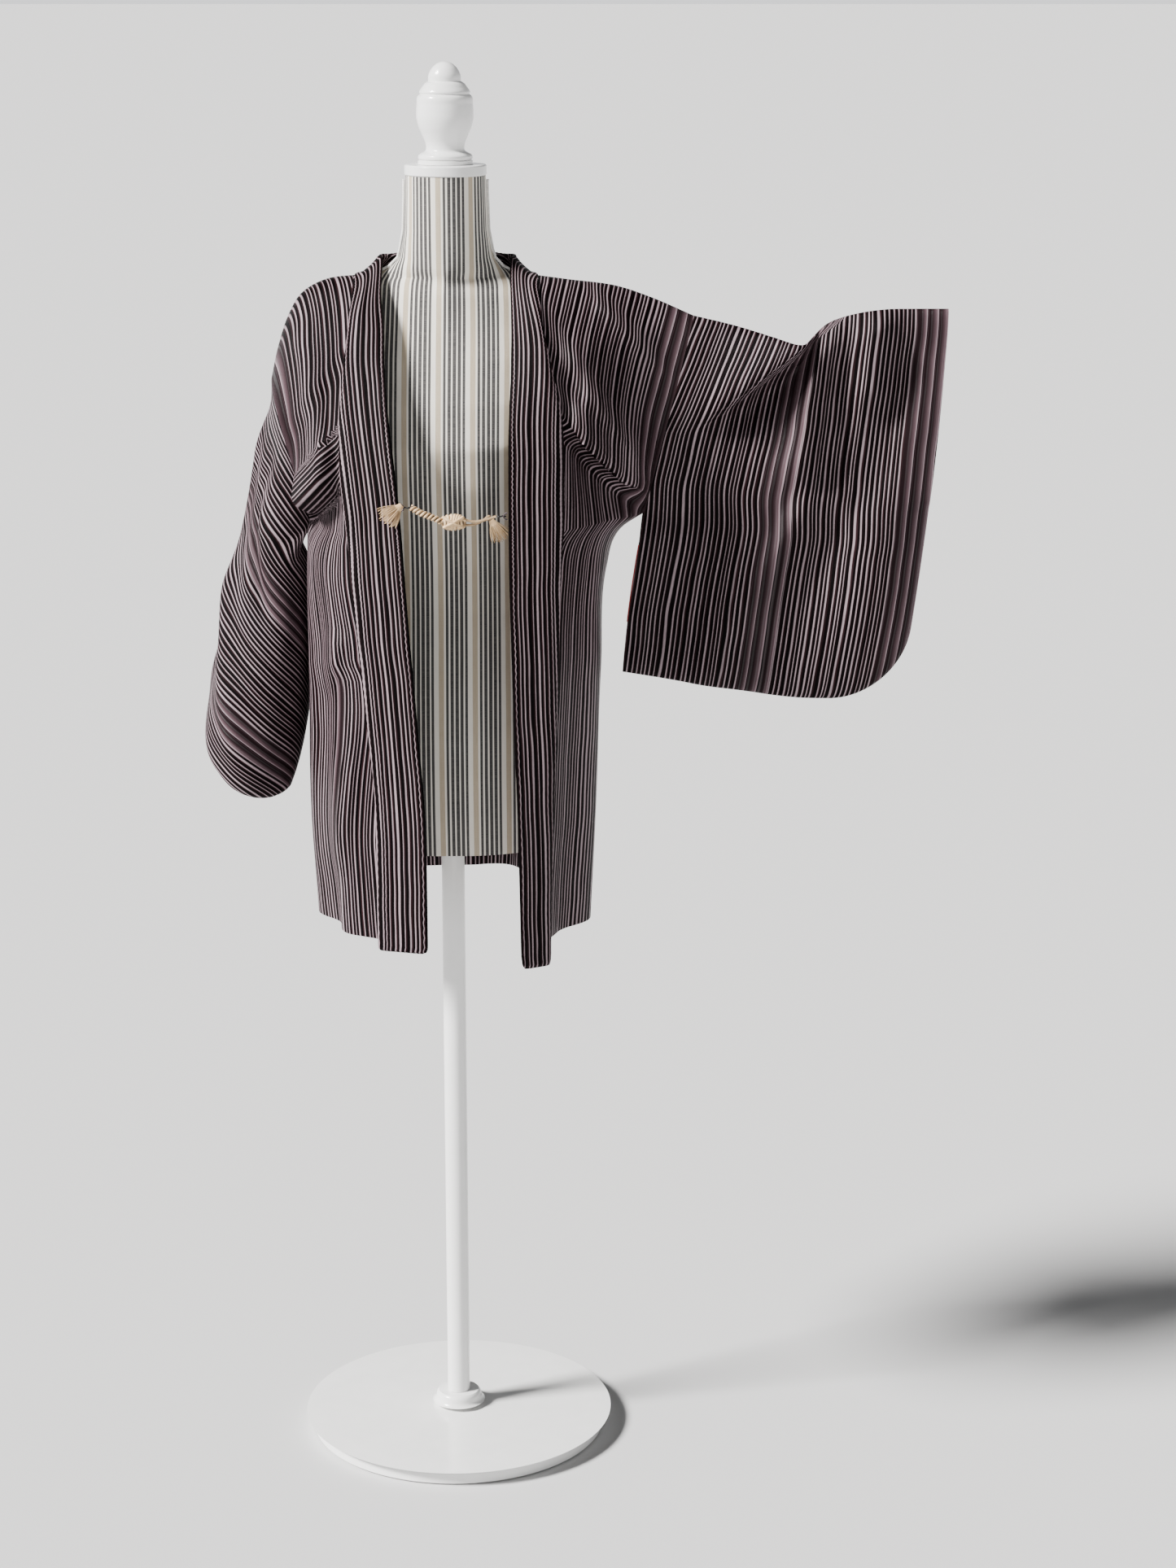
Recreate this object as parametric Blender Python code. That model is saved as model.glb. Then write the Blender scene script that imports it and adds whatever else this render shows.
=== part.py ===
"""A haori, the short open coat worn over a kimono, on a limbless dress form.

The coat is cut as a real one: two body panels that each run from the front hem
over the shoulder to the back hem, a narrow gusset under each arm, two bag
sleeves, one folded collar band, and a braided cord that ties the fronts. The
wearer's left sleeve is held out sideways and the right one hangs down.
+X is the wearer's left, -Y is the front, and the floor is at Z 0. Metres.
"""

import math

import bmesh
import bpy
import numpy as np
from mathutils import Matrix, Vector

# How the coat is cut.
HALF_BACK = 0.300  # centre back seam to armhole seam
NECK_HALF = 0.100  # centre to where the collar meets the shoulder fold
SLEEVE_WIDTH = 0.335
SLEEVE_DEPTH = 0.475
ARMHOLE = 0.245  # how far down the sleeve is sewn on, and its wrist is open
SLEEVE_CORNER = 0.085  # radius of the rounded outer corner
GUSSET_TOP = 0.010
GUSSET_HEM = 0.065
GUSSET_TRIM = 0.12  # share of its top row that is left open under the arm
CLOTH = 0.0016
COLLAR_THICKNESS = 0.0030
COLLAR_LAP = 0.05  # share of the front panel that the collar lies on
SEAM_GAP = 0.0003

# Where it hangs: the armhole's lower end, the hem, and how much lower than the
# hem the collar's end is.
ARMHOLE_Z = {"left": 1.212, "right": 1.205}
HEM_Z = {"left": 0.712, "right": 0.712}
COLLAR_DROP = {"left": 0.034, "right": 0.014}
SIGN = {"left": 1.0, "right": -1.0}

# How finely the cloth is divided.
FRONT_COLUMNS = 11
NECK_COLUMNS = 5
GUSSET_COLUMNS = 2
UPPER_ROWS = 10
LOWER_ROWS = 8
ROW_CROWDING = 1.35  # above 1, rows lie closer near the shoulder fold
SLEEVE_COLUMNS = 15
SLEEVE_LOWER_ROWS = 8
CORNER_CROWDING = 1.6  # above 1, rows lie closer near the rounded corner


class Table:
    """Rows of named columns, read between the rows along smooth curves."""

    def __init__(self, columns, rows):
        self.names = columns.split()[1:]
        table = np.array(rows, float)
        table = table[np.argsort(table[:, 0])]
        self.key, self.values = table[:, 0], table[:, 1:]
        slopes = np.diff(self.values, axis=0) / np.diff(self.key)[:, None]
        level = slopes[1:] * slopes[:-1] <= 0
        inner = np.where(level, 0, (slopes[1:] + slopes[:-1]) / 2)
        self.slopes = np.vstack([slopes[:1], inner, slopes[-1:]])

    def __call__(self, at):
        """The columns at values of the first column, by name."""
        at = np.clip(np.asarray(at, float), self.key[0], self.key[-1])
        i = np.clip(np.searchsorted(self.key, at, "right") - 1, 0, len(self.key) - 2)
        step = (self.key[i + 1] - self.key[i])[..., None]
        t = (at - self.key[i])[..., None] / step
        found = (
            self.values[i] * (2 * t**3 - 3 * t**2 + 1)
            + self.values[i + 1] * (3 * t**2 - 2 * t**3)
            + self.slopes[i] * step * (t**3 - 2 * t**2 + t)
            + self.slopes[i + 1] * step * (t**3 - t**2)
        )
        return {name: found[..., k] for k, name in enumerate(self.names)}


# The dress form, a ring for each height: its half width, how far it reaches in
# front of and behind the pole, and how round it is, 2 being an ellipse.
TORSO = Table("z half_width front back round", [
    (0.800, 0.140, 0.098, 0.104, 2.2),
    (0.860, 0.150, 0.108, 0.118, 2.2),
    (0.930, 0.154, 0.112, 0.120, 2.2),
    (1.000, 0.146, 0.105, 0.108, 2.2),
    (1.070, 0.127, 0.092, 0.088, 2.2),
    (1.130, 0.116, 0.085, 0.075, 2.2),
    (1.190, 0.121, 0.091, 0.076, 2.2),
    (1.250, 0.134, 0.108, 0.084, 2.2),
    (1.300, 0.143, 0.116, 0.088, 2.2),
    (1.350, 0.148, 0.104, 0.084, 2.2),
    (1.400, 0.155, 0.084, 0.074, 2.0),
    (1.440, 0.158, 0.066, 0.062, 1.5),
    (1.465, 0.160, 0.057, 0.056, 1.25),
    (1.480, 0.156, 0.053, 0.052, 1.12),
    (1.4919, 0.146, 0.047, 0.040, 1.0),
    (1.4979, 0.098, 0.047, 0.042, 1.05),
    (1.508, 0.068, 0.048, 0.050, 1.5),
    (1.530, 0.054, 0.048, 0.050, 1.9),
    (1.575, 0.049, 0.048, 0.049, 2.0),
    (1.6170, 0.048, 0.048, 0.048, 2.0),
])

# The body of the coat below the armholes, by how far up it is from the hem, 0,
# to the armholes, 1: half width, where along Y it is widest, the collar seam's
# place along Y, how far it reaches behind, how pointed its sides are, 1 being
# an ellipse, and how strongly its flutes show.
BODY = {
    "left": Table("up half_width side_y seam_y back point flutes", [
        (0.000, 0.170, 0.000, -0.160, 0.172, 1.00, 1.0),
        (0.300, 0.179, 0.000, -0.158, 0.160, 1.00, 0.8),
        (0.620, 0.186, 0.000, -0.154, 0.144, 1.00, 0.5),
        (0.870, 0.193, 0.000, -0.150, 0.128, 1.05, 0.2),
        (0.965, 0.212, 0.000, -0.147, 0.122, 1.25, 0.0),
        (1.000, 0.240, 0.000, -0.146, 0.120, 1.50, 0.0),
    ]),
    "right": Table("up half_width side_y seam_y back point flutes", [
        (0.000, 0.161, 0.000, -0.160, 0.172, 1.00, 1.0),
        (0.300, 0.168, 0.000, -0.158, 0.160, 1.00, 0.8),
        (0.620, 0.166, 0.000, -0.154, 0.144, 1.00, 0.5),
        (0.870, 0.164, -0.005, -0.150, 0.128, 1.00, 0.2),
        (0.965, 0.167, -0.008, -0.147, 0.122, 1.10, 0.0),
        (1.000, 0.170, -0.010, -0.146, 0.120, 1.20, 0.0),
    ]),
}

# The front panel's edge under the collar, as a distance from the middle.
FRONT_EDGE = {
    "left": Table("z x", [
        (0.700, 0.120), (0.863, 0.123), (1.015, 0.128), (1.163, 0.131), (1.261, 0.133),
        (1.345, 0.130), (1.399, 0.118), (1.444, 0.107), (1.4995, 0.100),
    ]),
    "right": Table("z x", [
        (0.712, 0.078), (0.868, 0.078), (1.019, 0.091), (1.165, 0.104), (1.298, 0.116),
        (1.353, 0.115), (1.399, 0.110), (1.445, 0.104), (1.4995, 0.100),
    ]),
}

# Soft upright flutes: the way round the body in degrees, 0 at the front and
# 180 at the back, how far each stands out at the hem, and its half width.
FLUTES = {
    "left": [(57, -0.008, 8), (72, 0.010, 8), (106, -0.008, 10), (124, 0.017, 11),
             (143, -0.009, 9), (161, 0.015, 10)],
    "right": [(47, 0.010, 9), (62, -0.007, 8), (78, 0.009, 9), (108, 0.012, 12),
              (129, -0.009, 9), (149, 0.018, 11)],
}

# The shoulder fold, from the neck out to the armhole seam.
SHOULDER = {
    "left": Table("across x y z", [
        (0.100, 0.100, 0.000, 1.4995),
        (0.145, 0.146, 0.000, 1.4935),
        (0.200, 0.203, 0.000, 1.486),
        (0.245, 0.246, 0.000, 1.472),
        (0.300, 0.297, 0.000, 1.450),
    ]),
    "right": Table("across x y z", [
        (0.100, 0.100, 0.000, 1.4995),
        (0.145, 0.146, 0.000, 1.4935),
        (0.178, 0.175, 0.002, 1.477),
        (0.210, 0.192, 0.010, 1.450),
        (0.250, 0.206, 0.022, 1.412),
        (0.300, 0.2165, 0.036, 1.372),
    ]),
}
NAPE_Y = 0.068
NAPE_Z = 1.489

# How far the cloth stands out in front, behind and sideways halfway down each
# armhole, and how far out along the sleeve the armhole's own shape is felt.
ARMHOLE_SWELL = {"left": (0.024, 0.022, 0.0), "right": (0.050, 0.034, -0.004)}
ARMHOLE_REACH = {"left": 0.11, "right": 0.07}

# The collar's folded edge, from the hem up to the side of the neck.
COLLAR_FOLD = {
    "left": Table("z x y", [
        (0.678, 0.089, -0.178),
        (0.872, 0.085, -0.175),
        (1.021, 0.080, -0.171),
        (1.226, 0.076, -0.163),
        (1.300, 0.076, -0.152),
        (1.356, 0.077, -0.133),
        (1.400, 0.079, -0.110),
        (1.445, 0.079, -0.080),
        (1.490, 0.077, -0.040),
        (1.520, 0.076, 0.002),
    ]),
    "right": Table("z x y", [
        (0.698, 0.023, -0.178),
        (0.872, 0.025, -0.175),
        (0.972, 0.032, -0.172),
        (1.120, 0.043, -0.167),
        (1.238, 0.051, -0.162),
        (1.300, 0.058, -0.152),
        (1.356, 0.065, -0.134),
        (1.400, 0.069, -0.110),
        (1.447, 0.071, -0.080),
        (1.490, 0.076, -0.040),
        (1.520, 0.076, 0.002),
    ]),
}
# Round the neck, by share of the way from the shoulder to the centre back: the
# four steps across the band from its seam, which stand up and then turn outwards
# and down. Each has a width, and a way to go: 0 is to the neck, 90 up, 180 away.
NAPE = Table("share way_1 way_2 way_3 way_4 width_1 width_2 width_3 width_4", [
    (0.2, 49, 54, 98, 165, 0.0090, 0.0090, 0.0065, 0.0045),
    (0.4, 60, 62, 150, 246, 0.0110, 0.0110, 0.0075, 0.0115),
    (0.6, 75, 72, 165, 255, 0.0130, 0.0130, 0.0078, 0.0170),
    (0.8, 90, 80, 172, 258, 0.0145, 0.0145, 0.0080, 0.0205),
    (1.0, 100, 85, 175, 258, 0.0150, 0.0150, 0.0080, 0.0220),
])
COLLAR_RISE = 0.018  # how much higher the folded edge is than the seam, on the shoulder
COLLAR_NECK_LAP = 0.008  # how far the collar lies on the back panels

# The red lining that shows past the held-out sleeve's open inner edge, on the
# rows of that sleeve's grid counted from its top fold.
LINING_FIRST_ROW = 11
LINING_LAST_ROW = 14
LINING_WIDTH = 0.014
LINING_SHOWS = 0.0015
LINING_THICKNESS = 0.0010

# The cord that ties the fronts: thread loops on the collar, metal hooks, a
# thick braid, a knot, two thin cords and two tassels.
TIE_HEIGHT = {"left": 1.233, "right": 1.243}
LOOP_HALF = 0.004
LOOP_REACH = 0.0045
LOOP_RADIUS = 0.0009
LOOP_GAP = 0.0007
LOOP_STEPS = 7
TIE_GAP = 0.0008  # where the cords meet the knot and the tassel at a slant
HOOK_EYE = 0.0025
HOOK_RADIUS = 0.0008
BRAID_RADIUS = 0.0038
THIN_RADIUS = 0.0016
KNOT_CENTRE = (0.012, -0.168, 1.227)
KNOT_HALF = (0.014, 0.006, 0.0105)
TASSEL_GRID = (3, 8)  # rows and columns of strands
TASSEL_HEAD = (0.0110, 0.0056)
TASSEL_HEAD_HEIGHT = 0.007
TASSEL_LENGTH = 0.027
STRAND_GAP = 0.00022
TASSEL_ROOT = {"left": (0.0560, -0.1530, 1.2270), "right": (-0.0480, -0.1700, 1.2475)}
TASSEL_WAY = {"left": (0.50, 0.18, -0.85), "right": (-0.75, -0.03, -0.65)}
TASSEL_SPREAD = {"left": 0.9, "right": 1.1}

# The form and its stand.
TORSO_SEGMENTS = 28
CHEST_TOP = 1.405
CHEST_RINGS = 12
TURNED_SEGMENTS = 20
BASE_SEGMENTS = 36
PIPING_RADIUS = 0.0016
PIPING_TOP = 1.612
PIPING_LOW = 1.4979
PIPING_END = 0.086  # how far from the middle the piping ends on the shoulder
NECK_DISC = [(1.6173, 0.0478), (1.6188, 0.0492), (1.6284, 0.0492), (1.6300, 0.0478)]
FINIAL = [
    (1.6303, 0.0330), (1.6345, 0.0330), (1.6355, 0.0305), (1.6366, 0.0322), (1.6395, 0.0325),
    (1.6425, 0.0300), (1.6455, 0.0245), (1.6500, 0.0230), (1.6550, 0.0238), (1.6640, 0.0274),
    (1.6750, 0.0320), (1.6870, 0.0342), (1.7000, 0.0336), (1.7105, 0.0316), (1.7120, 0.0294),
    (1.7140, 0.0304), (1.7200, 0.0270), (1.7255, 0.0222), (1.7270, 0.0196), (1.7310, 0.0196),
    (1.7380, 0.0176), (1.7450, 0.0122), (1.7490, 0.0055), (1.7500, 0.0015),
]
POLE_RADIUS = 0.0145
POLE = [(0.0443, POLE_RADIUS), (0.7997, POLE_RADIUS)]
BASE = [
    (0.0000, 0.1860), (0.0030, 0.1900), (0.0130, 0.1900), (0.0190, 0.1860), (0.0225, 0.1760),
    (0.0240, 0.0520), (0.0300, 0.0340), (0.0420, 0.0280), (0.0440, 0.0260),
]

# The held-out sleeve: its top fold, the line level with the armhole's lower
# end, and its lower edge, at distances across from the armhole seam.
SLEEVE_OUT = Table("across top_x top_z mid_x mid_z low_x low_z", [
    (0.000, 0.297, 1.450, 0.240, 1.212, 0.213, 1.011),
    (0.050, 0.344, 1.439, 0.292, 1.208, 0.262, 1.003),
    (0.100, 0.393, 1.426, 0.343, 1.204, 0.314, 0.994),
    (0.140, 0.428, 1.4175, 0.384, 1.202, 0.355, 0.988),
    (0.160, 0.444, 1.428, 0.405, 1.203, 0.376, 0.985),
    (0.185, 0.461, 1.442, 0.431, 1.206, 0.401, 0.981),
    (0.215, 0.488, 1.451, 0.462, 1.210, 0.432, 0.978),
    (0.265, 0.537, 1.458, 0.514, 1.213, 0.484, 0.977),
    (0.335, 0.605, 1.458, 0.587, 1.215, 0.556, 0.976),
])

# The hanging sleeve is turned out of the level, and its cloth wraps round an
# upright curve. The curve's heading, in degrees, is given by the distance from
# the sleeve's outer outline: 90 comes to the front, 0 goes to the coat.
SLEEVE_TURN = math.radians(45)
SLEEVE_WRAP = Table("distance heading", [
    (-0.320, 96), (-0.200, 95), (-0.120, 94), (-0.050, 92), (0.000, 76),
    (0.045, 36), (0.085, 4), (0.120, -28), (0.160, -68), (0.200, -86), (0.420, -90),
])
SLEEVE_HANG = Table("drop outline x y z wrap", [
    (0.000, 0.113, 0.214, 0.000, 1.372, 0.38),
    (0.080, 0.093, 0.219, 0.002, 1.300, 0.38),
    (0.165, 0.071, 0.231, 0.004, 1.216, 0.42),
    (0.260, 0.047, 0.251, 0.002, 1.122, 0.56),
    (0.350, 0.024, 0.274, -0.004, 1.036, 0.72),
    (0.470, -0.006, 0.302, -0.010, 0.922, 0.86),
    (0.620, -0.044, 0.324, -0.014, 0.790, 0.90),
])
HANG_STEPS = 400

# Half the distance between the two layers of each sleeve.
SLEEVE_FILL = {"left": 0.009, "right": 0.009}
SLEEVE_EDGE = 0.035  # how far from a closed edge the layers part fully
FURI_PART = 0.008  # half the gap between the layers at the open inner edge
FURI_START = 0.15  # share of that edge over which the gap opens
FURI_MEET = np.array([0.2, 0.6, 0.6])  # and over which it comes away from the armhole, by axis

# Folds: ridges from one point to another, in metres across and up. Each stands
# out by its height and falls away over one reach above it, another below.
SLEEVE_FOLDS = {
    "left": [
        dict(start=(0.150, 0.010), end=(0.045, -0.110), height=0.019, above=0.050, below=0.018),
        dict(start=(0.190, 0.000), end=(0.165, -0.200), height=0.010, above=0.024, below=0.024),
        dict(start=(0.250, 0.000), end=(0.222, -0.170), height=0.008, above=0.022, below=0.022),
        dict(start=(0.125, -0.240), end=(0.100, -0.475), height=0.008, above=0.028, below=0.028),
        dict(start=(0.300, -0.120), end=(0.260, -0.430), height=0.008, above=0.032, below=0.032),
    ],
    "right": [
        dict(start=(0.080, -0.020), end=(0.190, -0.230), height=0.006, above=0.022, below=0.022),
        dict(start=(0.150, -0.180), end=(0.300, -0.400), height=0.005, above=0.020, below=0.020),
    ],
}
BODY_FOLDS = {
    "left": [
        dict(start=(0.150, 1.345), end=(0.258, 1.232), height=0.022, above=0.060, below=0.020),
        dict(start=(0.172, 1.420), end=(0.232, 1.290), height=0.008, above=0.022, below=0.022),
    ],
    "right": [
        dict(start=(0.116, 1.316), end=(0.200, 1.205), height=0.026, above=0.050, below=0.016),
        dict(start=(0.165, 1.440), end=(0.142, 1.300), height=0.010, above=0.020, below=0.020),
    ],
}


def smooth(t):
    """0 to 1 with level ends."""
    t = np.clip(t, 0.0, 1.0)
    return t * t * (3 - 2 * t)


def fold_height(folds, across, up):
    """How far the folds lift the cloth at each point."""
    total = np.zeros_like(across)
    for fold in folds:
        (x0, z0), (x1, z1) = fold["start"], fold["end"]
        length = math.hypot(x1 - x0, z1 - z0)
        run_x, run_z = (x1 - x0) / length, (z1 - z0) / length
        along = ((across - x0) * run_x + (up - z0) * run_z) / length
        side = run_x * (up - z0) - run_z * (across - x0)
        if run_x < 0:
            side = -side
        reach = np.where(side > 0, fold["above"], fold["below"])
        fade = smooth((along + 0.15) / 0.3) * smooth((1.2 - along) / 0.4)
        total += fold["height"] * fade * np.exp(-((side / reach) ** 2))
    return total


def grid_normals(grid):
    """The unit normal at each point of a grid of rows and columns."""
    normal = np.cross(np.gradient(grid, axis=1), np.gradient(grid, axis=0))
    return normal / np.linalg.norm(normal, axis=2, keepdims=True)


def upper_shares():
    """Rows from the armhole's lower end, 1, up to the shoulder fold, 0."""
    return (np.arange(UPPER_ROWS, -1, -1) / UPPER_ROWS) ** ROW_CROWDING


def front_shares():
    """Columns of a front panel, 0 at the collar and 1 at the side."""
    rest = np.linspace(COLLAR_LAP, 1.0, FRONT_COLUMNS)
    return np.concatenate([[0.0], rest])


def back_shares():
    """Columns of a back panel, 0 at the centre back and 1 at the side."""
    outer = NECK_HALF + (HALF_BACK - NECK_HALF) * front_shares()
    neck = np.linspace(0.0, NECK_HALF, NECK_COLUMNS + 1)[:-1]
    return np.concatenate([neck, outer]) / HALF_BACK


def lower_rows():
    """Rows of the body below the armholes, 0 at the hem and 1 at the top."""
    return 1 - np.linspace(1.0, 0.0, LOWER_ROWS + 1) ** ROW_CROWDING


def height_at(side, up, share):
    """A row's height, level with the other half's at the centre back, share 0."""
    hem = sum(HEM_Z.values()) / 2
    top = sum(ARMHOLE_Z.values()) / 2
    middle = hem + (top - hem) * up
    own = HEM_Z[side] + (ARMHOLE_Z[side] - HEM_Z[side]) * up
    return middle + (own - middle) * smooth(share)


def start_angle(side, up):
    """The angle from the front at which a row meets the collar."""
    row = BODY[side](up)
    edge = FRONT_EDGE[side](height_at(side, up, 1.0))["x"]
    return np.arcsin((edge / row["half_width"]) ** (1 / row["point"]))


def ring_reach(side, up):
    """How far a row would reach ahead of and behind its widest place."""
    row = BODY[side](up)
    ahead = (row["side_y"] - row["seam_y"]) / np.cos(start_angle(side, up)) ** row["point"]
    return ahead, row["back"] - row["side_y"]


def ring_point(side, angle, up, z):
    """A point of the body below the armholes, at an angle from the front."""
    row = BODY[side](up)
    ahead, behind = ring_reach(side, up)
    reach = np.where(angle < math.pi / 2, ahead, behind)
    turn = np.abs(np.cos(angle)) ** row["point"] * np.sign(np.cos(angle))
    x = row["half_width"] * np.abs(np.sin(angle)) ** row["point"]
    y = row["side_y"] - reach * turn
    out = np.stack([np.sin(angle) / row["half_width"], -np.cos(angle) / reach], -1)
    out /= np.linalg.norm(out, axis=-1, keepdims=True)
    lift = np.zeros_like(x)
    for degrees, height, width in FLUTES[side]:
        lift += height * np.exp(-(((np.degrees(angle) - degrees) / width) ** 2))
    lift *= row["flutes"] * smooth((180 - np.degrees(angle)) / 12)
    return np.stack([x + out[..., 0] * lift, y + out[..., 1] * lift, z], -1)


def gusset_angles(side, up):
    """The angles that the gusset takes up in a row, ahead of its middle and behind."""
    half = (GUSSET_HEM + (GUSSET_TOP - GUSSET_HEM) * up) / 2
    point = BODY[side](up)["point"]
    return [np.arcsin((half / reach) ** (1 / point)) for reach in ring_reach(side, up)]


def lower_front(side, shares):
    share, up = np.meshgrid(shares, lower_rows())
    start = start_angle(side, up)
    ahead, _ = gusset_angles(side, up)
    angle = start + (math.pi / 2 - ahead - start) * share
    return ring_point(side, angle, up, height_at(side, up, 1.0))


def lower_back(side, shares):
    share, up = np.meshgrid(shares, lower_rows())
    _, behind = gusset_angles(side, up)
    angle = math.pi - (math.pi / 2 - behind) * share
    return ring_point(side, angle, up, height_at(side, up, share))


def rise_to(level, top, rise, swell, sideways):
    """Rows from a level line up over a rounded shoulder to a top line."""
    up = (1 - rise)[:, None]
    ahead = np.sqrt(1 - up**2)
    x = level[:, 0] + (top[:, 0] - level[:, 0]) * up + sideways * 2 * up * ahead
    y = top[:, 1] + (level[:, 1] - top[:, 1]) * ahead + swell * 2 * up * ahead
    z = level[:, 2] + (top[:, 2] - level[:, 2]) * up
    return np.stack([x, y, z], -1)


def front_panel(side):
    """The front panel's points, rows from the hem up and columns outwards."""
    shares = front_shares()
    lower = lower_front(side, shares)
    fold = SHOULDER[side](NECK_HALF + (HALF_BACK - NECK_HALF) * shares)
    top = np.stack([fold["x"], fold["y"], fold["z"]], -1)
    ahead, _, sideways = ARMHOLE_SWELL[side]
    upper = rise_to(lower[-1], top, upper_shares(), -ahead * shares**2, sideways * shares**2)
    # The inner edge follows the collar, and the rest keeps its place between.
    edge = FRONT_EDGE[side](upper[:, 0, 2])["x"]
    upper[..., 0] += (edge - upper[:, 0, 0])[:, None] * (1 - shares) ** 2
    grid = np.concatenate([lower, upper[1:]])
    from_top = np.concatenate([np.ones(LOWER_ROWS), upper_shares()])
    mask = smooth((shares - COLLAR_LAP) / 0.2) * smooth((1 - shares) / 0.15)
    mask = mask * smooth(from_top / 0.15)[:, None]
    lift = fold_height(BODY_FOLDS[side], grid[..., 0], grid[..., 2])
    way = grid_normals(grid) * 0.4 + np.array([0.0, -0.6, 0.0])
    return grid + way * (lift * mask)[..., None]


def back_panel(side):
    """The back panel's points, rows from the hem up and columns outwards."""
    shares = back_shares()
    lower = lower_back(side, shares)
    across = HALF_BACK * shares
    fold = SHOULDER[side](across)
    top = np.stack([fold["x"], fold["y"], fold["z"]], -1)
    neck = across < NECK_HALF
    turn = across[neck] / NECK_HALF * math.pi / 2
    top[neck, 0] = NECK_HALF * np.sin(turn)
    top[neck, 1] = NAPE_Y * np.cos(turn)
    top[neck, 2] = NAPE_Z + (top[~neck, 2][0] - NAPE_Z) * np.sin(turn) ** 2
    _, behind, sideways = ARMHOLE_SWELL[side]
    upper = rise_to(lower[-1], top, upper_shares(), behind * shares**3, sideways * shares**3)
    return np.concatenate([lower, upper[1:]])


def gusset(side):
    """The gusset's points, rows from the hem up and columns to the back."""
    share, up = np.meshgrid(np.linspace(-1, 1, GUSSET_COLUMNS + 1), lower_rows())
    ahead, behind = gusset_angles(side, up)
    angle = math.pi / 2 + np.where(share < 0, ahead, behind) * share
    return ring_point(side, angle, up, height_at(side, up, 1.0))


def sleeve_outline(down):
    """How wide the sleeve is at a distance below its top fold."""
    over = np.clip((down - (SLEEVE_DEPTH - SLEEVE_CORNER)) / SLEEVE_CORNER, 0, 1)
    return SLEEVE_WIDTH - SLEEVE_CORNER * (1 - np.sqrt(1 - over**2))


def held_out(across, down):
    """The middle of the held-out sleeve, and which way its front faces."""
    row = SLEEVE_OUT(across)
    a, b = down / ARMHOLE, down / SLEEVE_DEPTH
    span = ARMHOLE / SLEEVE_DEPTH
    top = (1 - a) * (1 - b)
    mid = a * (1 - b) / (1 - span)
    low = b * (a - 1) / (1 / span - 1)
    x = row["top_x"] * top + row["mid_x"] * mid + row["low_x"] * low
    z = row["top_z"] * top + row["mid_z"] * mid + row["low_z"] * low
    facing = np.zeros(x.shape + (3,))
    facing[..., 1] = -1
    return np.stack([x, np.zeros_like(x), z], -1), facing


def hanging(across, down):
    """The middle of the hanging sleeve, and which way its outer layer faces."""
    level = -across * math.cos(SLEEVE_TURN) + down * math.sin(SLEEVE_TURN)
    drop = across * math.sin(SLEEVE_TURN) + down * math.cos(SLEEVE_TURN)
    row = SLEEVE_HANG(drop)
    steps = np.linspace(SLEEVE_WRAP.key[0], SLEEVE_WRAP.key[-1], HANG_STEPS)
    heading = np.radians(SLEEVE_WRAP(steps)["heading"])
    walk_x = np.cumsum(np.cos(heading)) * (steps[1] - steps[0])
    walk_y = np.cumsum(-np.sin(heading)) * (steps[1] - steps[0])
    walk_x -= np.interp(0, steps, walk_x)
    walk_y -= np.interp(0, steps, walk_y)
    distance = level - row["outline"]
    x = -row["x"] + row["wrap"] * np.interp(distance, steps, walk_x)
    y = row["y"] + row["wrap"] * np.interp(distance, steps, walk_y)
    turn = np.interp(distance, steps, heading)
    facing = np.stack([-np.sin(turn), -np.cos(turn), np.zeros_like(turn)], -1)
    return np.stack([x, y, row["z"]], -1), facing


def sleeve_layer(side, layer, seam):
    """One layer of a sleeve, rows down from the top fold and columns outwards.

    Layer is 1 for the front and -1 for the back, and seam holds the armhole's
    points from the shoulder fold down.
    """
    lower = np.linspace(0, 1, SLEEVE_LOWER_ROWS + 1)[1:]
    rows = np.concatenate([
        ARMHOLE * upper_shares()[::-1],
        ARMHOLE + (SLEEVE_DEPTH - ARMHOLE) * (1 - (1 - lower) ** CORNER_CROWDING),
    ])
    share, down = np.meshgrid(np.linspace(0, 1, SLEEVE_COLUMNS + 1), rows)
    across = share * sleeve_outline(down)
    middle = {"left": held_out, "right": hanging}[side]
    centre, facing = middle(across, down)
    past = np.maximum(0, ARMHOLE - down)
    from_wrist = np.hypot(sleeve_outline(down) - across, past)
    from_edge = np.minimum(np.minimum(down, SLEEVE_DEPTH - down), from_wrist)
    open_share = np.sqrt(1 - (1 - np.clip(from_edge / SLEEVE_EDGE, 0, 1)) ** 2)
    half_gap = SLEEVE_FILL[side] * open_share
    lift = fold_height(SLEEVE_FOLDS[side], across, -down)
    lift *= smooth(across / 0.05) * smooth(from_wrist / 0.03 + (down < ARMHOLE))
    bag = centre + facing * (layer * half_gap + lift)[..., None]
    # The inner edge: the armhole's own points, and below them the open edge.
    inner = centre[:, 0].copy()
    below = (rows - ARMHOLE) / (SLEEVE_DEPTH - ARMHOLE)
    part = FURI_PART * open_share[:, SLEEVE_COLUMNS // 2] * smooth(below / FURI_START)
    inner += facing[:, 0] * (layer * part)[:, None]
    low = seam[-1] - centre[len(seam) - 1, 0]
    inner += low * (1 - smooth(below[:, None] / FURI_MEET))
    inner[: len(seam)] = seam
    near = inner[:, None] + centre - centre[:, :1]
    blend = smooth(across / ARMHOLE_REACH[side])[..., None]
    return near * (1 - blend) + bag * blend


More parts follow.
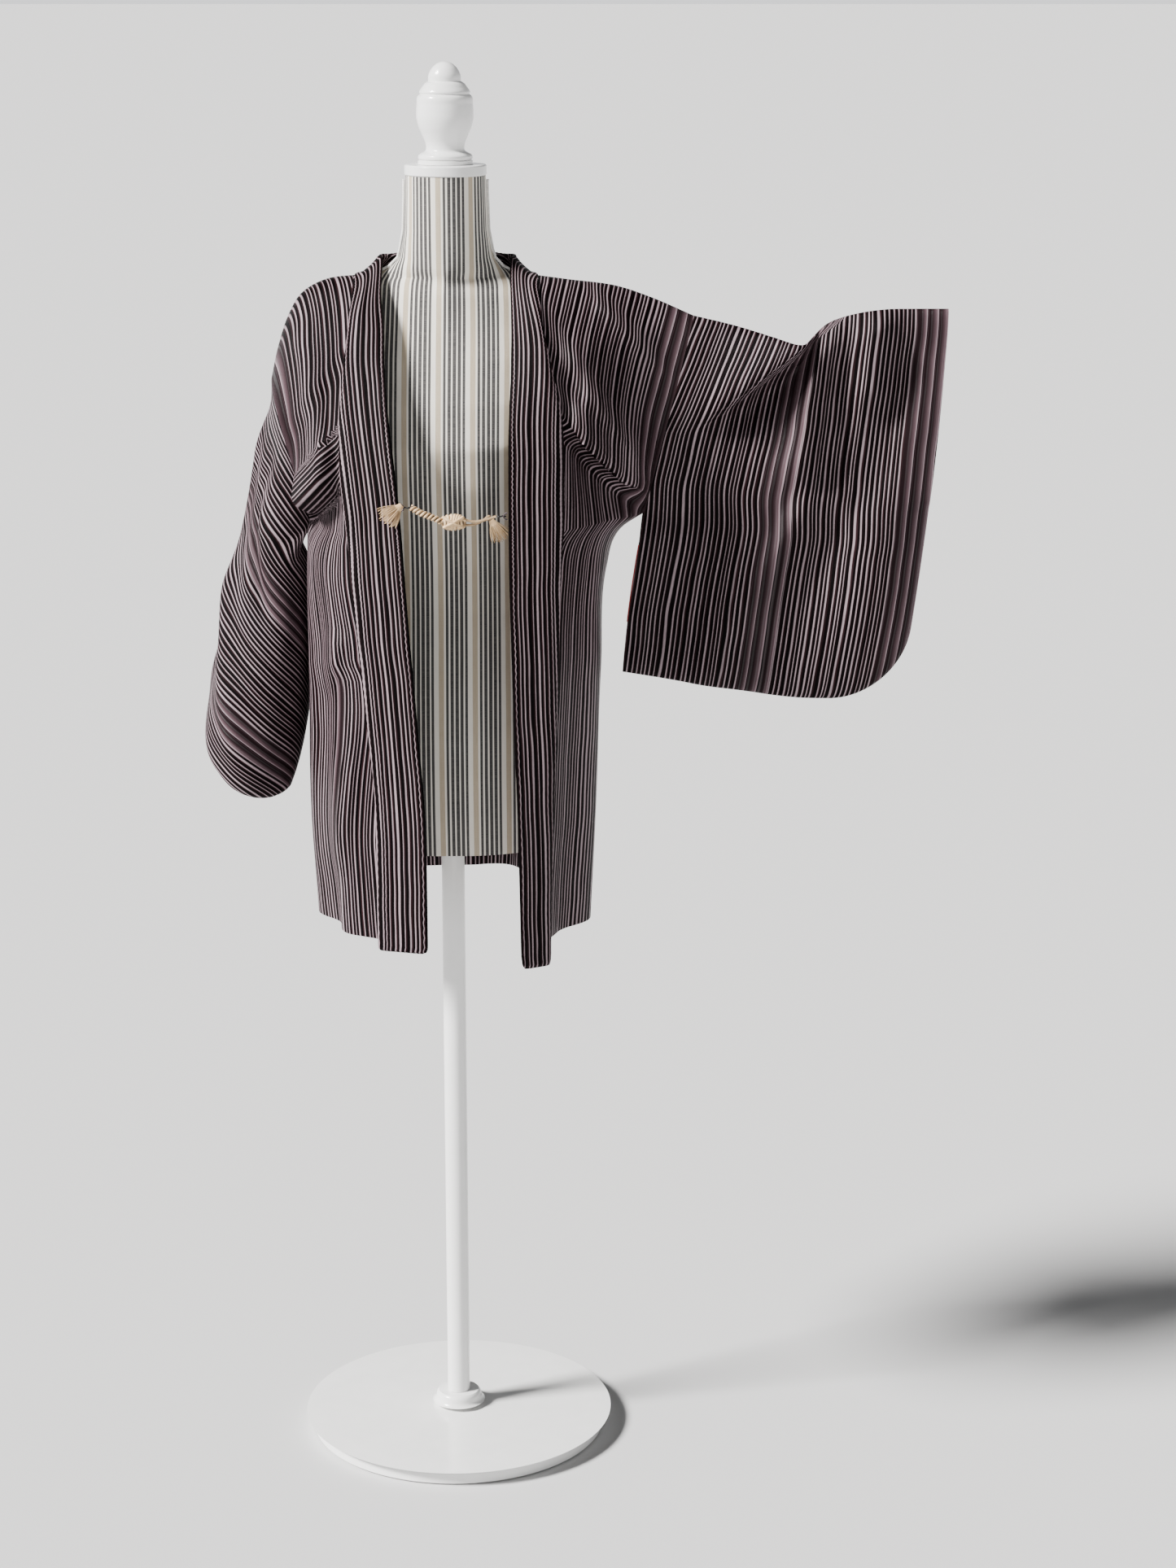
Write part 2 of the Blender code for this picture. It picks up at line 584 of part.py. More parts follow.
class Cloth:
    """Grids sewn to each other along the points that they share."""

    def __init__(self):
        self.points = []
        self.index = {}
        self.triangles = {}
        self.trimmed = {}

    def number(self, point):
        key = tuple(np.round(point, 6))
        if key not in self.index:
            self.index[key] = len(self.points)
            self.points.append(point)
        return self.index[key]

    def add(self, piece, grid, turned=False, crossed=False):
        """Add a grid to a piece.

        Turned puts its outer side on the other side, and crossed divides its
        cells along their other diagonals.
        """
        numbers = [[self.number(p) for p in row] for row in grid]
        found = self.triangles.setdefault(piece, [])
        for j in range(len(grid) - 1):
            for i in range(len(grid[0]) - 1):
                a, b = numbers[j][i], numbers[j][i + 1]
                c, d = numbers[j + 1][i + 1], numbers[j + 1][i]
                halves = ((a, b, d), (b, c, d)) if crossed else ((a, b, c), (a, c, d))
                for triangle in halves:
                    if len(set(triangle)) == 3:
                        found.append(triangle[::-1] if turned else triangle)
        return numbers

    def finish(self):
        """Work out the normal at each point, shared by all that meet there."""
        self.points = np.array(self.points)
        self.normals = np.zeros_like(self.points)
        for triangles in self.triangles.values():
            t = np.array(triangles)
            a, b, c = (self.points[t[:, k]] for k in range(3))
            normal = np.cross(b - a, c - a)
            for k in range(3):
                np.add.at(self.normals, t[:, k], normal)
        self.normals /= np.linalg.norm(self.normals, axis=1, keepdims=True)

    def drawn_back(self, piece):
        """The piece's points, each drawn half a seam gap back from its seams.

        Returns them with the normals and the triangles.
        """
        triangles = self.triangles[piece]
        others = {i for name, found in self.triangles.items() if name != piece
                  for t in found for i in t}
        edges = {}
        for t in triangles:
            for k in range(3):
                edges.setdefault(frozenset((t[k], t[k - 1])), []).append(t)
        inward = np.zeros_like(self.points)
        for edge, faces in edges.items():
            if len(faces) == 1 and edge <= others:
                a, b = edge
                run = self.points[b] - self.points[a]
                to_middle = self.points[list(faces[0])].mean(axis=0) - self.points[a]
                across = to_middle - run * np.dot(to_middle, run) / np.dot(run, run)
                across /= np.linalg.norm(across)
                inward[a] += across
                inward[b] += across
        length = np.linalg.norm(inward, axis=1, keepdims=True)
        inward = np.divide(inward, length, out=np.zeros_like(inward), where=length > 0)
        drawn = self.points + inward * SEAM_GAP / 2
        normals = self.normals.copy()
        for end, before in self.trimmed.get(piece, ()):
            drawn[end] += (self.points[before] - self.points[end]) * GUSSET_TRIM
            drawn[end] += inward[end] * CLOTH / 2
            normals[end] = self.normals[before]
        return drawn, normals, triangles


def material(name, colour, roughness, metallic=0.0):
    made = bpy.data.materials.new(name)
    made.use_nodes = True
    shader = made.node_tree.nodes["Principled BSDF"]
    shader.inputs["Base Color"].default_value = (*colour, 1)
    shader.inputs["Roughness"].default_value = roughness
    shader.inputs["Metallic"].default_value = metallic
    return made


def add_object(name, points, faces, finish):
    """A smooth object from points and faces, its faces turned outwards."""
    mesh = bpy.data.meshes.new(name)
    mesh.from_pydata([tuple(p) for p in points], [], [tuple(f) for f in faces])
    shape = bmesh.new()
    shape.from_mesh(mesh)
    bmesh.ops.recalc_face_normals(shape, faces=shape.faces[:])
    shape.to_mesh(mesh)
    shape.free()
    mesh.shade_smooth()
    mesh.set_sharp_from_angle(angle=math.radians(50))
    mesh.materials.append(finish)
    made = bpy.data.objects.new(name, mesh)
    bpy.context.collection.objects.link(made)
    return made


def add_wall(name, points, normals, triangles, thickness, finish):
    """A closed wall of one thickness on both sides of a sheet of triangles."""
    used = sorted({i for t in triangles for i in t})
    place = {number: k for k, number in enumerate(used)}
    half = normals[used] * thickness / 2
    shell = np.concatenate([points[used] + half, points[used] - half])
    count = len(used)
    sides = {}
    faces = []
    for t in triangles:
        a, b, c = (place[i] for i in t)
        faces.append((a, b, c))
        faces.append((c + count, b + count, a + count))
        for edge in ((a, b), (b, c), (c, a)):
            sides[edge] = sides.get(edge, 0) + 1
    for a, b in sides:
        if (b, a) in sides:
            continue
        # Rims that face each other across a seam are divided the same way.
        if a < b:
            faces.append((b, a, a + count))
            faces.append((b, a + count, b + count))
        else:
            faces.append((b, a, b + count))
            faces.append((a, a + count, b + count))
    return add_object(name, shell, faces, finish)


def mirrored(grid, side):
    """A grid that was worked out for the left, on its own side."""
    return grid * np.array([SIGN[side], 1.0, 1.0])


def sew_coat():
    """The body panels, gussets and sleeves as one sheet, piece by piece."""
    coat = Cloth()
    fronts, backs, sleeves = {}, {}, {}
    for side in SIGN:
        front = mirrored(front_panel(side), side)
        back = mirrored(back_panel(side), side)
        right = side == "right"
        fronts[side] = coat.add(f"body_{side}", front, turned=right)
        backs[side] = coat.add(f"body_{side}", back, turned=not right)
        numbers = coat.add(f"gusset_{side}", mirrored(gusset(side), side), turned=right)
        coat.trimmed[f"gusset_{side}"] = list(zip(numbers[-1], numbers[-2]))
        top = len(front) - 1
        for layer, panel in ((1, front), (-1, back)):
            seam = panel[top : LOWER_ROWS - 1 : -1, -1]
            grid = sleeve_layer(side, layer, seam)
            if layer == 1:
                first = grid
            else:
                grid[0] = first[0]
                grid[-1] = first[-1]
                grid[UPPER_ROWS:, -1] = first[UPPER_ROWS:, -1]
            numbers = coat.add(f"sleeve_{side}", grid, turned=(layer == 1) != right)
            if layer == 1:
                sleeves[side] = numbers
    coat.finish()
    return coat, fronts, backs, sleeves


def collar_stations(coat, fronts, backs, side):
    """The collar's cross sections from its lower end to the centre back.

    Each is a row of points from where it lies on the panel to its folded edge.
    """
    lift = CLOTH / 2 + SEAM_GAP + COLLAR_THICKNESS / 2
    points, normals = coat.points, coat.normals
    up = np.array([0.0, 0.0, 1.0])
    stations = []
    for j, row in enumerate(fronts[side]):
        edge = points[row[0]] + normals[row[0]] * lift
        lap = points[row[1]] + normals[row[1]] * lift
        for low in (COLLAR_DROP[side], 0.0) if j == 0 else (0.0,):
            level = edge[2] - low
            level += COLLAR_RISE * smooth((level - 1.40) / 0.10)
            fold = COLLAR_FOLD[side](level)
            free = np.array([SIGN[side] * fold["x"], fold["y"], level])
            first = edge - up * low
            rest = [first + (free - first) * share for share in (0.25, 0.5, 0.75, 1.0)]
            stations.append([lap - up * low, first, *rest])
    # Round the neck the band stands up, and then its upper part turns outwards.
    steps = np.diff(np.array(stations[-1][1:]), axis=0)
    inward = np.hypot(steps[:, 0], steps[:, 1])
    side_angles = np.degrees(np.arctan2(steps[:, 2], inward))
    side_widths = np.linalg.norm(steps, axis=1)
    for i in range(NECK_COLUMNS - 1, -1, -1):
        top, below = backs[side][-1][i], backs[side][-2][i]
        edge = points[top] + normals[top] * lift
        run = points[below] - points[top]
        lap = edge + run * COLLAR_NECK_LAP / np.linalg.norm(run)
        share = (NECK_COLUMNS - i) / NECK_COLUMNS
        turned = smooth(share / NAPE.key[0])
        row = NAPE(share)
        ways, spans = (np.array([row[f"{name}_{k}"] for k in range(1, 5)]) for name in ("way", "width"))
        angles = np.radians(side_angles + (ways - side_angles) * turned)
        widths = side_widths + (spans - side_widths) * turned
        out = np.array([edge[0], edge[1], 0.0])
        out /= np.linalg.norm(out)
        station = [lap, edge]
        for angle, width in zip(angles, widths):
            step = -out * math.cos(angle) + up * math.sin(angle)
            station.append(station[-1] + step * width)
        stations.append(station)
    return np.array(stations)


def add_collar(coat, fronts, backs, finish):
    left = collar_stations(coat, fronts, backs, "left")
    right = collar_stations(coat, fronts, backs, "right")
    sheet = Cloth()
    sheet.add("only", left, turned=True, crossed=True)
    sheet.add("only", right[::-1], turned=True)
    sheet.finish()
    add_wall("collar", sheet.points, sheet.normals, sheet.triangles["only"],
             COLLAR_THICKNESS, finish)
    return left, right


def add_sleeve_lining(coat, sleeve, finish):
    """The red lining that shows past the held-out sleeve's open inner edge."""
    rows = []
    for numbers in sleeve[LINING_FIRST_ROW : LINING_LAST_ROW + 1]:
        edge, inside = coat.points[numbers[0]], coat.points[numbers[1]]
        run = (inside - edge) / np.linalg.norm(inside - edge)
        thick = (CLOTH + LINING_THICKNESS) / 2 + SEAM_GAP
        under = edge - coat.normals[numbers[0]] * thick
        rows.append([under - run * LINING_SHOWS, under + run * LINING_WIDTH])
    sheet = Cloth()
    sheet.add("only", np.array(rows), turned=True)
    sheet.finish()
    add_wall("sleeve_lining_left", sheet.points, sheet.normals, sheet.triangles["only"],
             LINING_THICKNESS, finish)


def add_turned(name, profile, segments, finish):
    """A solid turned about the pole from (height, radius) pairs, going up."""
    points, faces = [], []
    for z, radius in profile:
        for k in range(segments):
            turn = 2 * math.pi * k / segments
            points.append((radius * math.cos(turn), radius * math.sin(turn), z))
    for j in range(len(profile) - 1):
        for k in range(segments):
            after = (k + 1) % segments
            low, high = j * segments, (j + 1) * segments
            faces.append((low + k, low + after, high + after, high + k))
    faces.append(tuple(range(segments))[::-1])
    top = (len(profile) - 1) * segments
    faces.append(tuple(range(top, top + segments)))
    return add_object(name, points, faces, finish)


def torso_heights():
    """The heights of the form's rings, closer together on the shoulders."""
    body = np.linspace(TORSO.key[0], CHEST_TOP, CHEST_RINGS + 1)
    shoulder = TORSO.key[TORSO.key > CHEST_TOP]
    between = (shoulder[1:] + shoulder[:-1]) / 2
    return np.sort(np.concatenate([body, shoulder, between]))


def add_torso(finish):
    """The padded form: rings from the hips up to the top of the neck."""
    heights = torso_heights()
    turns = 2 * math.pi * np.arange(TORSO_SEGMENTS) / TORSO_SEGMENTS
    points, faces = [], []
    for z in heights:
        ring = TORSO(z)
        power = 2 / ring["round"]
        for turn in turns:
            c, s = math.cos(turn), math.sin(turn)
            reach = ring["back"] if s > 0 else ring["front"]
            x = ring["half_width"] * math.copysign(abs(c) ** power, c)
            y = reach * math.copysign(abs(s) ** power, s)
            points.append((x, y, z))
    count = TORSO_SEGMENTS
    for j in range(len(heights) - 1):
        for k in range(count):
            a, b = j * count + k, j * count + (k + 1) % count
            faces.append((a, b, b + count, a + count))
    faces.append(tuple(range(count))[::-1])
    top = (len(heights) - 1) * count
    faces.append(tuple(range(top, top + count)))
    return add_object("form_torso", points, faces, finish)


def smooth_route(points, spacing):
    """Points at an even spacing along a smooth curve through a route."""
    points = [Vector(p) for p in points]
    ends = [points[0] * 2 - points[1], *points, points[-1] * 2 - points[-2]]
    fine = []
    for a, b, c, d in zip(ends, ends[1:], ends[2:], ends[3:]):
        for k in range(12):
            t = k / 12
            fine.append(0.5 * (2 * b + (c - a) * t + (2 * a - 5 * b + 4 * c - d) * t * t
                               + (3 * b - a - 3 * c + d) * t**3))
    fine.append(points[-1])
    length = [0.0]
    for a, b in zip(fine, fine[1:]):
        length.append(length[-1] + (b - a).length)
    count = max(2, round(length[-1] / spacing))
    at = np.linspace(0, length[-1], count + 1)
    table = np.array(fine)
    return np.stack([np.interp(at, length, table[:, k]) for k in range(3)], -1)


def add_tube(name, route, radius, finish, resolution=2):
    """A round cord along a route, with closed ends."""
    curve = bpy.data.curves.new(name, "CURVE")
    curve.dimensions = "3D"
    curve.bevel_depth = radius
    curve.bevel_resolution = resolution
    curve.use_fill_caps = True
    spline = curve.splines.new("POLY")
    spline.points.add(len(route) - 1)
    for point, place in zip(spline.points, route):
        point.co = (*place, 1.0)
    curve.materials.append(finish)
    made = bpy.data.objects.new(name, curve)
    bpy.context.collection.objects.link(made)
    return made


def add_fastening(side, stations, thread, metal):
    """The thread loop on the collar's folded edge, and the hook through it.

    Returns where the cord's end meets the hook.
    """
    inward = Vector((-SIGN[side], 0, 0))
    ahead = Vector((0, -1, 0))
    height = TIE_HEIGHT[side]
    low, high = (Vector(fold_point(stations, height + d)) for d in (-LOOP_HALF, LOOP_HALF))
    loop = []
    for k in range(LOOP_STEPS + 1):
        turn = math.pi * k / LOOP_STEPS
        base = high.lerp(low, (1 - math.cos(turn)) / 2)
        loop.append(base + inward * (LOOP_GAP + LOOP_REACH * math.sin(turn)))
    add_tube(f"collar_loop_{side}", loop, LOOP_RADIUS, thread)
    first = high.lerp(low, 0.5) + inward * (LOOP_GAP + LOOP_REACH)
    second = first + inward * HOOK_EYE * 2
    wire = []
    for k in range(9):
        turn = math.radians(90 + 270 * k / 8)
        wire.append(first + (inward * math.cos(turn) + ahead * math.sin(turn)) * HOOK_EYE)
    for k in range(1, 9):
        turn = math.radians(180 - 270 * k / 8)
        wire.append(second + (inward * math.cos(turn) + ahead * math.sin(turn)) * HOOK_EYE)
    add_tube(f"hook_{side}", wire, HOOK_RADIUS, metal)
    return second + inward * (HOOK_EYE + HOOK_RADIUS + SEAM_GAP)


def add_tassel(name, root, direction, spread, finish):
    """A tassel: a small head whose lower side is drawn out into strands."""
    rows, columns = TASSEL_GRID
    width, depth = TASSEL_HEAD
    shape = bmesh.new()
    grid = {}
    for j in range(rows + 1):
        for i in range(columns + 1):
            x = (i / columns - 0.5) * width
            y = (j / rows - 0.5) * depth
            grid[i, j] = shape.verts.new((x, y, 0))
    cells = []
    for j in range(rows):
        for i in range(columns):
            cells.append(shape.faces.new(
                (grid[i, j], grid[i, j + 1], grid[i + 1, j + 1], grid[i + 1, j])))
    rim = [e for e in shape.edges if e.is_boundary]
    walls = bmesh.ops.extrude_edge_only(shape, edges=rim)["geom"]
    upper = [v for v in walls if isinstance(v, bmesh.types.BMVert)]
    for v in upper:
        v.co = (v.co.x * 0.55, v.co.y * 0.7, TASSEL_HEAD_HEIGHT)
    top = [e for e in walls if isinstance(e, bmesh.types.BMEdge)]
    bmesh.ops.contextual_create(shape, geom=[e for e in top if e.is_boundary])
    bmesh.ops.inset_individual(shape, faces=cells, thickness=STRAND_GAP)
    for face in cells:
        middle = face.calc_center_median()
        lean = Vector((middle.x / width, middle.y / depth, 0))
        unit = TASSEL_LENGTH / 2
        for step, fan in enumerate((spread * 0.8, spread * 1.4)):
            grown = bmesh.ops.extrude_discrete_faces(shape, faces=[face])["faces"][0]
            way = Vector((lean.x * fan, lean.y * fan * 0.6, -1)).normalized()
            end = unit * (1 - 0.25 * abs(lean.x) * step)
            bmesh.ops.translate(shape, verts=grown.verts, vec=way * end)
            face = grown
    mesh = bpy.data.meshes.new(name)
    bmesh.ops.recalc_face_normals(shape, faces=shape.faces[:])
    shape.to_mesh(mesh)
    shape.free()
    mesh.materials.append(finish)
    made = bpy.data.objects.new(name, mesh)
    down = Vector(direction).normalized()
    made.rotation_mode = "QUATERNION"
    made.rotation_quaternion = Vector((0, 0, -1)).rotation_difference(down)
    made.location = Vector(root) + down * TASSEL_HEAD_HEIGHT
    bpy.context.collection.objects.link(made)
    return made


def fold_point(stations, height):
    """The point of the collar's folded edge at a height."""
    edge = stations[: LOWER_ROWS + UPPER_ROWS + 2, -1]
    return [float(np.interp(height, edge[:, 2], edge[:, k])) for k in (0, 1)] + [height]


def add_tie(left, right, braid, thread, metal):
    """The fastening cord from hook to hook, with its knot and tassels."""
    knot = Vector(KNOT_CENTRE)
    start = add_fastening("right", right, thread, metal)
    finish = add_fastening("left", left, thread, metal)
    knot_left = knot - Vector((KNOT_HALF[0] + TIE_GAP, 0, -0.001))
    braid_route = [start, (-0.026, -0.1665, 1.2375), (-0.012, -0.1680, 1.2325), knot_left]
    add_tube("himo_braid", smooth_route(braid_route, BRAID_RADIUS * 1.1), BRAID_RADIUS, braid)
    add_knot(braid)
    out = knot + Vector((KNOT_HALF[0] + TIE_GAP, 0, 0.0025))
    upper_route = [out, (0.038, -0.1670, 1.2275), (0.052, -0.1655, 1.2300), finish]
    add_tube("himo_cord_upper", smooth_route(upper_route, 0.005), THIN_RADIUS, braid)
    out_low = knot + Vector((KNOT_HALF[0] + TIE_GAP - 0.0005, 0, -0.0035))
    head = Vector(TASSEL_ROOT["left"]) - Vector(TASSEL_WAY["left"]) * TIE_GAP
    above = head - Vector(TASSEL_WAY["left"]) * THIN_RADIUS * 3
    lower_route = [out_low, (0.036, -0.1640, 1.2235), (0.047, -0.1570, 1.2275), above, head]
    add_tube("himo_cord_lower", smooth_route(lower_route, 0.005), THIN_RADIUS, braid)
    for side in SIGN:
        add_tassel(f"tassel_{side}", TASSEL_ROOT[side], TASSEL_WAY[side], TASSEL_SPREAD[side], braid)


def add_knot(finish):
    """The knot as a rounded bun lying across the cord."""
    shape = bmesh.new()
    bmesh.ops.create_uvsphere(shape, u_segments=16, v_segments=8, radius=1.0,
                              matrix=Matrix.Rotation(math.pi / 2, 4, "Y"))
    bmesh.ops.scale(shape, vec=KNOT_HALF, verts=shape.verts)
    bmesh.ops.translate(shape, vec=KNOT_CENTRE, verts=shape.verts)
    mesh = bpy.data.meshes.new("himo_knot")
    shape.to_mesh(mesh)
    shape.free()
    mesh.shade_smooth()
    mesh.materials.append(finish)
    made = bpy.data.objects.new("himo_knot", mesh)
    bpy.context.collection.objects.link(made)


def add_piping(finish):
    """The white piping down both sides of the form's neck."""
    rings = torso_heights()
    heights = np.linspace(PIPING_TOP, PIPING_LOW, 40)
    reach = np.interp(heights, rings, TORSO(rings)["half_width"])
    keep = reach < PIPING_END
    lift = PIPING_RADIUS + SEAM_GAP
    slope = np.gradient(reach, heights)
    out = np.stack([np.ones_like(slope), -slope], -1)
    out /= np.linalg.norm(out, axis=1, keepdims=True)
    x, z = reach + out[:, 0] * lift, heights + out[:, 1] * lift
    for side, sign in SIGN.items():
        route = [(sign * px, 0.0, pz) for px, pz, k in zip(x, z, keep) if k]
        add_tube(f"neck_piping_{side}", smooth_route(route, 0.011), PIPING_RADIUS, finish)


def build():
    for thing in list(bpy.data.objects):
        bpy.data.objects.remove(thing)
    cloth = material("striped_silk", (0.16, 0.11, 0.13), 0.55)
    red = material("red_lining", (0.55, 0.05, 0.05), 0.6)
    braid = material("cream_braid", (0.74, 0.62, 0.46), 0.7)
    metal = material("black_hook", (0.02, 0.02, 0.02), 0.4, 0.8)
    linen = material("striped_linen", (0.72, 0.68, 0.60), 0.85)
    white_trim = material("white_piping", (0.86, 0.86, 0.84), 0.8)
    paint = material("white_paint", (0.88, 0.88, 0.88), 0.35)

    coat, fronts, backs, sleeves = sew_coat()
    for piece in coat.triangles:
        points, normals, triangles = coat.drawn_back(piece)
        add_wall(piece, points, normals, triangles, CLOTH, cloth)
    left, right = add_collar(coat, fronts, backs, cloth)
    add_sleeve_lining(coat, sleeves["left"], red)
    add_tie(left, right, braid, cloth, metal)

    add_torso(linen)
    add_piping(white_trim)
    add_turned("neck_disc", NECK_DISC, TURNED_SEGMENTS, paint)
    add_turned("finial", FINIAL, TURNED_SEGMENTS, paint)
    add_turned("stand_pole", POLE, TURNED_SEGMENTS, paint)
    add_turned("stand_base", BASE, BASE_SEGMENTS, paint)


build()
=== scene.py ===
"""The looks of a striped silk haori on a dress form."""

import math

import bmesh
import bpy
import numpy as np
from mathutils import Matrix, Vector


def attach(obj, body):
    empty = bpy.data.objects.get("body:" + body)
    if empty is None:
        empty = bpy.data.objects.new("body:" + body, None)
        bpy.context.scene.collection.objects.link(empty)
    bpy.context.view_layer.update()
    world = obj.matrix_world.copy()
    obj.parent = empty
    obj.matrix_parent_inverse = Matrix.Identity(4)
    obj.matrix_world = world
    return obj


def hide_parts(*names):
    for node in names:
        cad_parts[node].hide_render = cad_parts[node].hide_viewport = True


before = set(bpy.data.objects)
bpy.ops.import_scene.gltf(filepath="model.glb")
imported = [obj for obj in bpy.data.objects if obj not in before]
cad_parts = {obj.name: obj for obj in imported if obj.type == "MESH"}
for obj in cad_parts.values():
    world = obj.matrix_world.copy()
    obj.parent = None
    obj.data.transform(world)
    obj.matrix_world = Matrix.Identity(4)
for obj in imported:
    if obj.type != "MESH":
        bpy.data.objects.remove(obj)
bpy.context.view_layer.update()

HALF_BACK = 0.300  # centre back seam to armhole seam
NECK_HALF = 0.100  # centre to where the collar meets the shoulder fold
SLEEVE_WIDTH = 0.335
SLEEVE_DEPTH = 0.475
ARMHOLE = 0.245  # how far down the sleeve is sewn on, and its wrist is open
SLEEVE_CORNER = 0.085  # radius of the rounded outer corner
GUSSET_TOP = 0.010
GUSSET_HEM = 0.065
GUSSET_TRIM = 0.12  # share of its top row that is left open under the arm
CLOTH = 0.0016
SEEN_CLOTH = 0.00128  # a little thinner than the solid's
COLLAR_THICKNESS = 0.0030
COLLAR_LAP = 0.05  # share of the front panel that the collar lies on
SEAM_GAP = 0.0003

# Where it hangs: the armhole's lower end, the hem, and how much lower than the
# hem the collar's end is.
ARMHOLE_Z = {"left": 1.212, "right": 1.205}
HEM_Z = {"left": 0.712, "right": 0.712}
COLLAR_DROP = {"left": 0.034, "right": 0.014}
SIGN = {"left": 1.0, "right": -1.0}

# How finely the cloth is divided.
FRONT_COLUMNS = 48
NECK_COLUMNS = 20
GUSSET_COLUMNS = 8
UPPER_ROWS = 60
LOWER_ROWS = 56
ROW_CROWDING = 1.35  # above 1, rows lie closer near the shoulder fold
SLEEVE_COLUMNS = 75
SLEEVE_LOWER_ROWS = 56
CORNER_CROWDING = 1.6  # above 1, rows lie closer near the rounded corner


class Table:
    """Rows of named columns, read between the rows along smooth curves."""

    def __init__(self, columns, rows):
        self.names = columns.split()[1:]
        table = np.array(rows, float)
        table = table[np.argsort(table[:, 0])]
        self.key, self.values = table[:, 0], table[:, 1:]
        slopes = np.diff(self.values, axis=0) / np.diff(self.key)[:, None]
        level = slopes[1:] * slopes[:-1] <= 0
        inner = np.where(level, 0, (slopes[1:] + slopes[:-1]) / 2)
        self.slopes = np.vstack([slopes[:1], inner, slopes[-1:]])

    def __call__(self, at):
        """The columns at values of the first column, by name."""
        at = np.clip(np.asarray(at, float), self.key[0], self.key[-1])
        i = np.clip(np.searchsorted(self.key, at, "right") - 1, 0, len(self.key) - 2)
        step = (self.key[i + 1] - self.key[i])[..., None]
        t = (at - self.key[i])[..., None] / step
        found = (
            self.values[i] * (2 * t**3 - 3 * t**2 + 1)
            + self.values[i + 1] * (3 * t**2 - 2 * t**3)
            + self.slopes[i] * step * (t**3 - 2 * t**2 + t)
            + self.slopes[i + 1] * step * (t**3 - t**2)
        )
        return {name: found[..., k] for k, name in enumerate(self.names)}


# The dress form, a ring for each height: its half width, how far it reaches in
# front of and behind the pole, and how round it is, 2 being an ellipse.
TORSO = Table("z half_width front back round", [
    (0.800, 0.140, 0.098, 0.104, 2.2),
    (0.860, 0.150, 0.108, 0.118, 2.2),
    (0.930, 0.154, 0.112, 0.120, 2.2),
    (1.000, 0.146, 0.105, 0.108, 2.2),
    (1.070, 0.127, 0.092, 0.088, 2.2),
    (1.130, 0.116, 0.085, 0.075, 2.2),
    (1.190, 0.121, 0.091, 0.076, 2.2),
    (1.250, 0.134, 0.108, 0.084, 2.2),
    (1.300, 0.143, 0.116, 0.088, 2.2),
    (1.350, 0.148, 0.104, 0.084, 2.2),
    (1.400, 0.155, 0.084, 0.074, 2.0),
    (1.440, 0.158, 0.066, 0.062, 1.5),
    (1.465, 0.160, 0.057, 0.056, 1.25),
    (1.480, 0.156, 0.053, 0.052, 1.12),
    (1.4919, 0.146, 0.047, 0.040, 1.0),
    (1.4979, 0.098, 0.047, 0.042, 1.05),
    (1.508, 0.068, 0.048, 0.050, 1.5),
    (1.530, 0.054, 0.048, 0.050, 1.9),
    (1.575, 0.049, 0.048, 0.049, 2.0),
    (1.6170, 0.048, 0.048, 0.048, 2.0),
])

# The body of the coat below the armholes, by how far up it is from the hem, 0,
# to the armholes, 1: half width, where along Y it is widest, the collar seam's
# place along Y, how far it reaches behind, how pointed its sides are, 1 being
# an ellipse, and how strongly its flutes show.
BODY = {
    "left": Table("up half_width side_y seam_y back point flutes", [
        (0.000, 0.170, 0.000, -0.160, 0.172, 1.00, 1.0),
        (0.300, 0.179, 0.000, -0.158, 0.160, 1.00, 0.8),
        (0.620, 0.186, 0.000, -0.154, 0.144, 1.00, 0.5),
        (0.870, 0.193, 0.000, -0.150, 0.128, 1.05, 0.2),
        (0.965, 0.212, 0.000, -0.147, 0.122, 1.25, 0.0),
        (1.000, 0.240, 0.000, -0.146, 0.120, 1.50, 0.0),
    ]),
    "right": Table("up half_width side_y seam_y back point flutes", [
        (0.000, 0.161, 0.000, -0.160, 0.172, 1.00, 1.0),
        (0.300, 0.170, 0.000, -0.158, 0.160, 1.00, 0.8),
        (0.620, 0.171, 0.000, -0.154, 0.144, 1.00, 0.5),
        (0.870, 0.173, -0.005, -0.150, 0.128, 1.00, 0.2),
        (0.965, 0.173, -0.008, -0.147, 0.122, 1.10, 0.0),
        (1.000, 0.170, -0.010, -0.146, 0.120, 1.20, 0.0),
    ]),
}

# The front panel's edge under the collar, as a distance from the middle.
FRONT_EDGE = {
    "left": Table("z x", [
        (0.700, 0.120), (0.863, 0.123), (1.015, 0.128), (1.163, 0.131), (1.261, 0.133),
        (1.345, 0.130), (1.399, 0.118), (1.444, 0.107), (1.4995, 0.100),
    ]),
    "right": Table("z x", [
        (0.712, 0.078), (0.868, 0.078), (1.019, 0.091), (1.165, 0.104), (1.298, 0.116),
        (1.353, 0.115), (1.399, 0.110), (1.445, 0.104), (1.4995, 0.100),
    ]),
}

# Soft upright flutes: the way round the body in degrees, 0 at the front and
# 180 at the back, how far each stands out at the hem, and its half width.
FLUTES = {
    "left": [(57, -0.008, 8), (72, 0.010, 8), (106, -0.008, 10), (124, 0.017, 11),
             (143, -0.009, 9), (161, 0.015, 10)],
    "right": [(47, 0.010, 9), (62, -0.007, 8), (78, 0.009, 9), (108, 0.012, 12),
              (129, -0.009, 9), (149, 0.018, 11)],
}

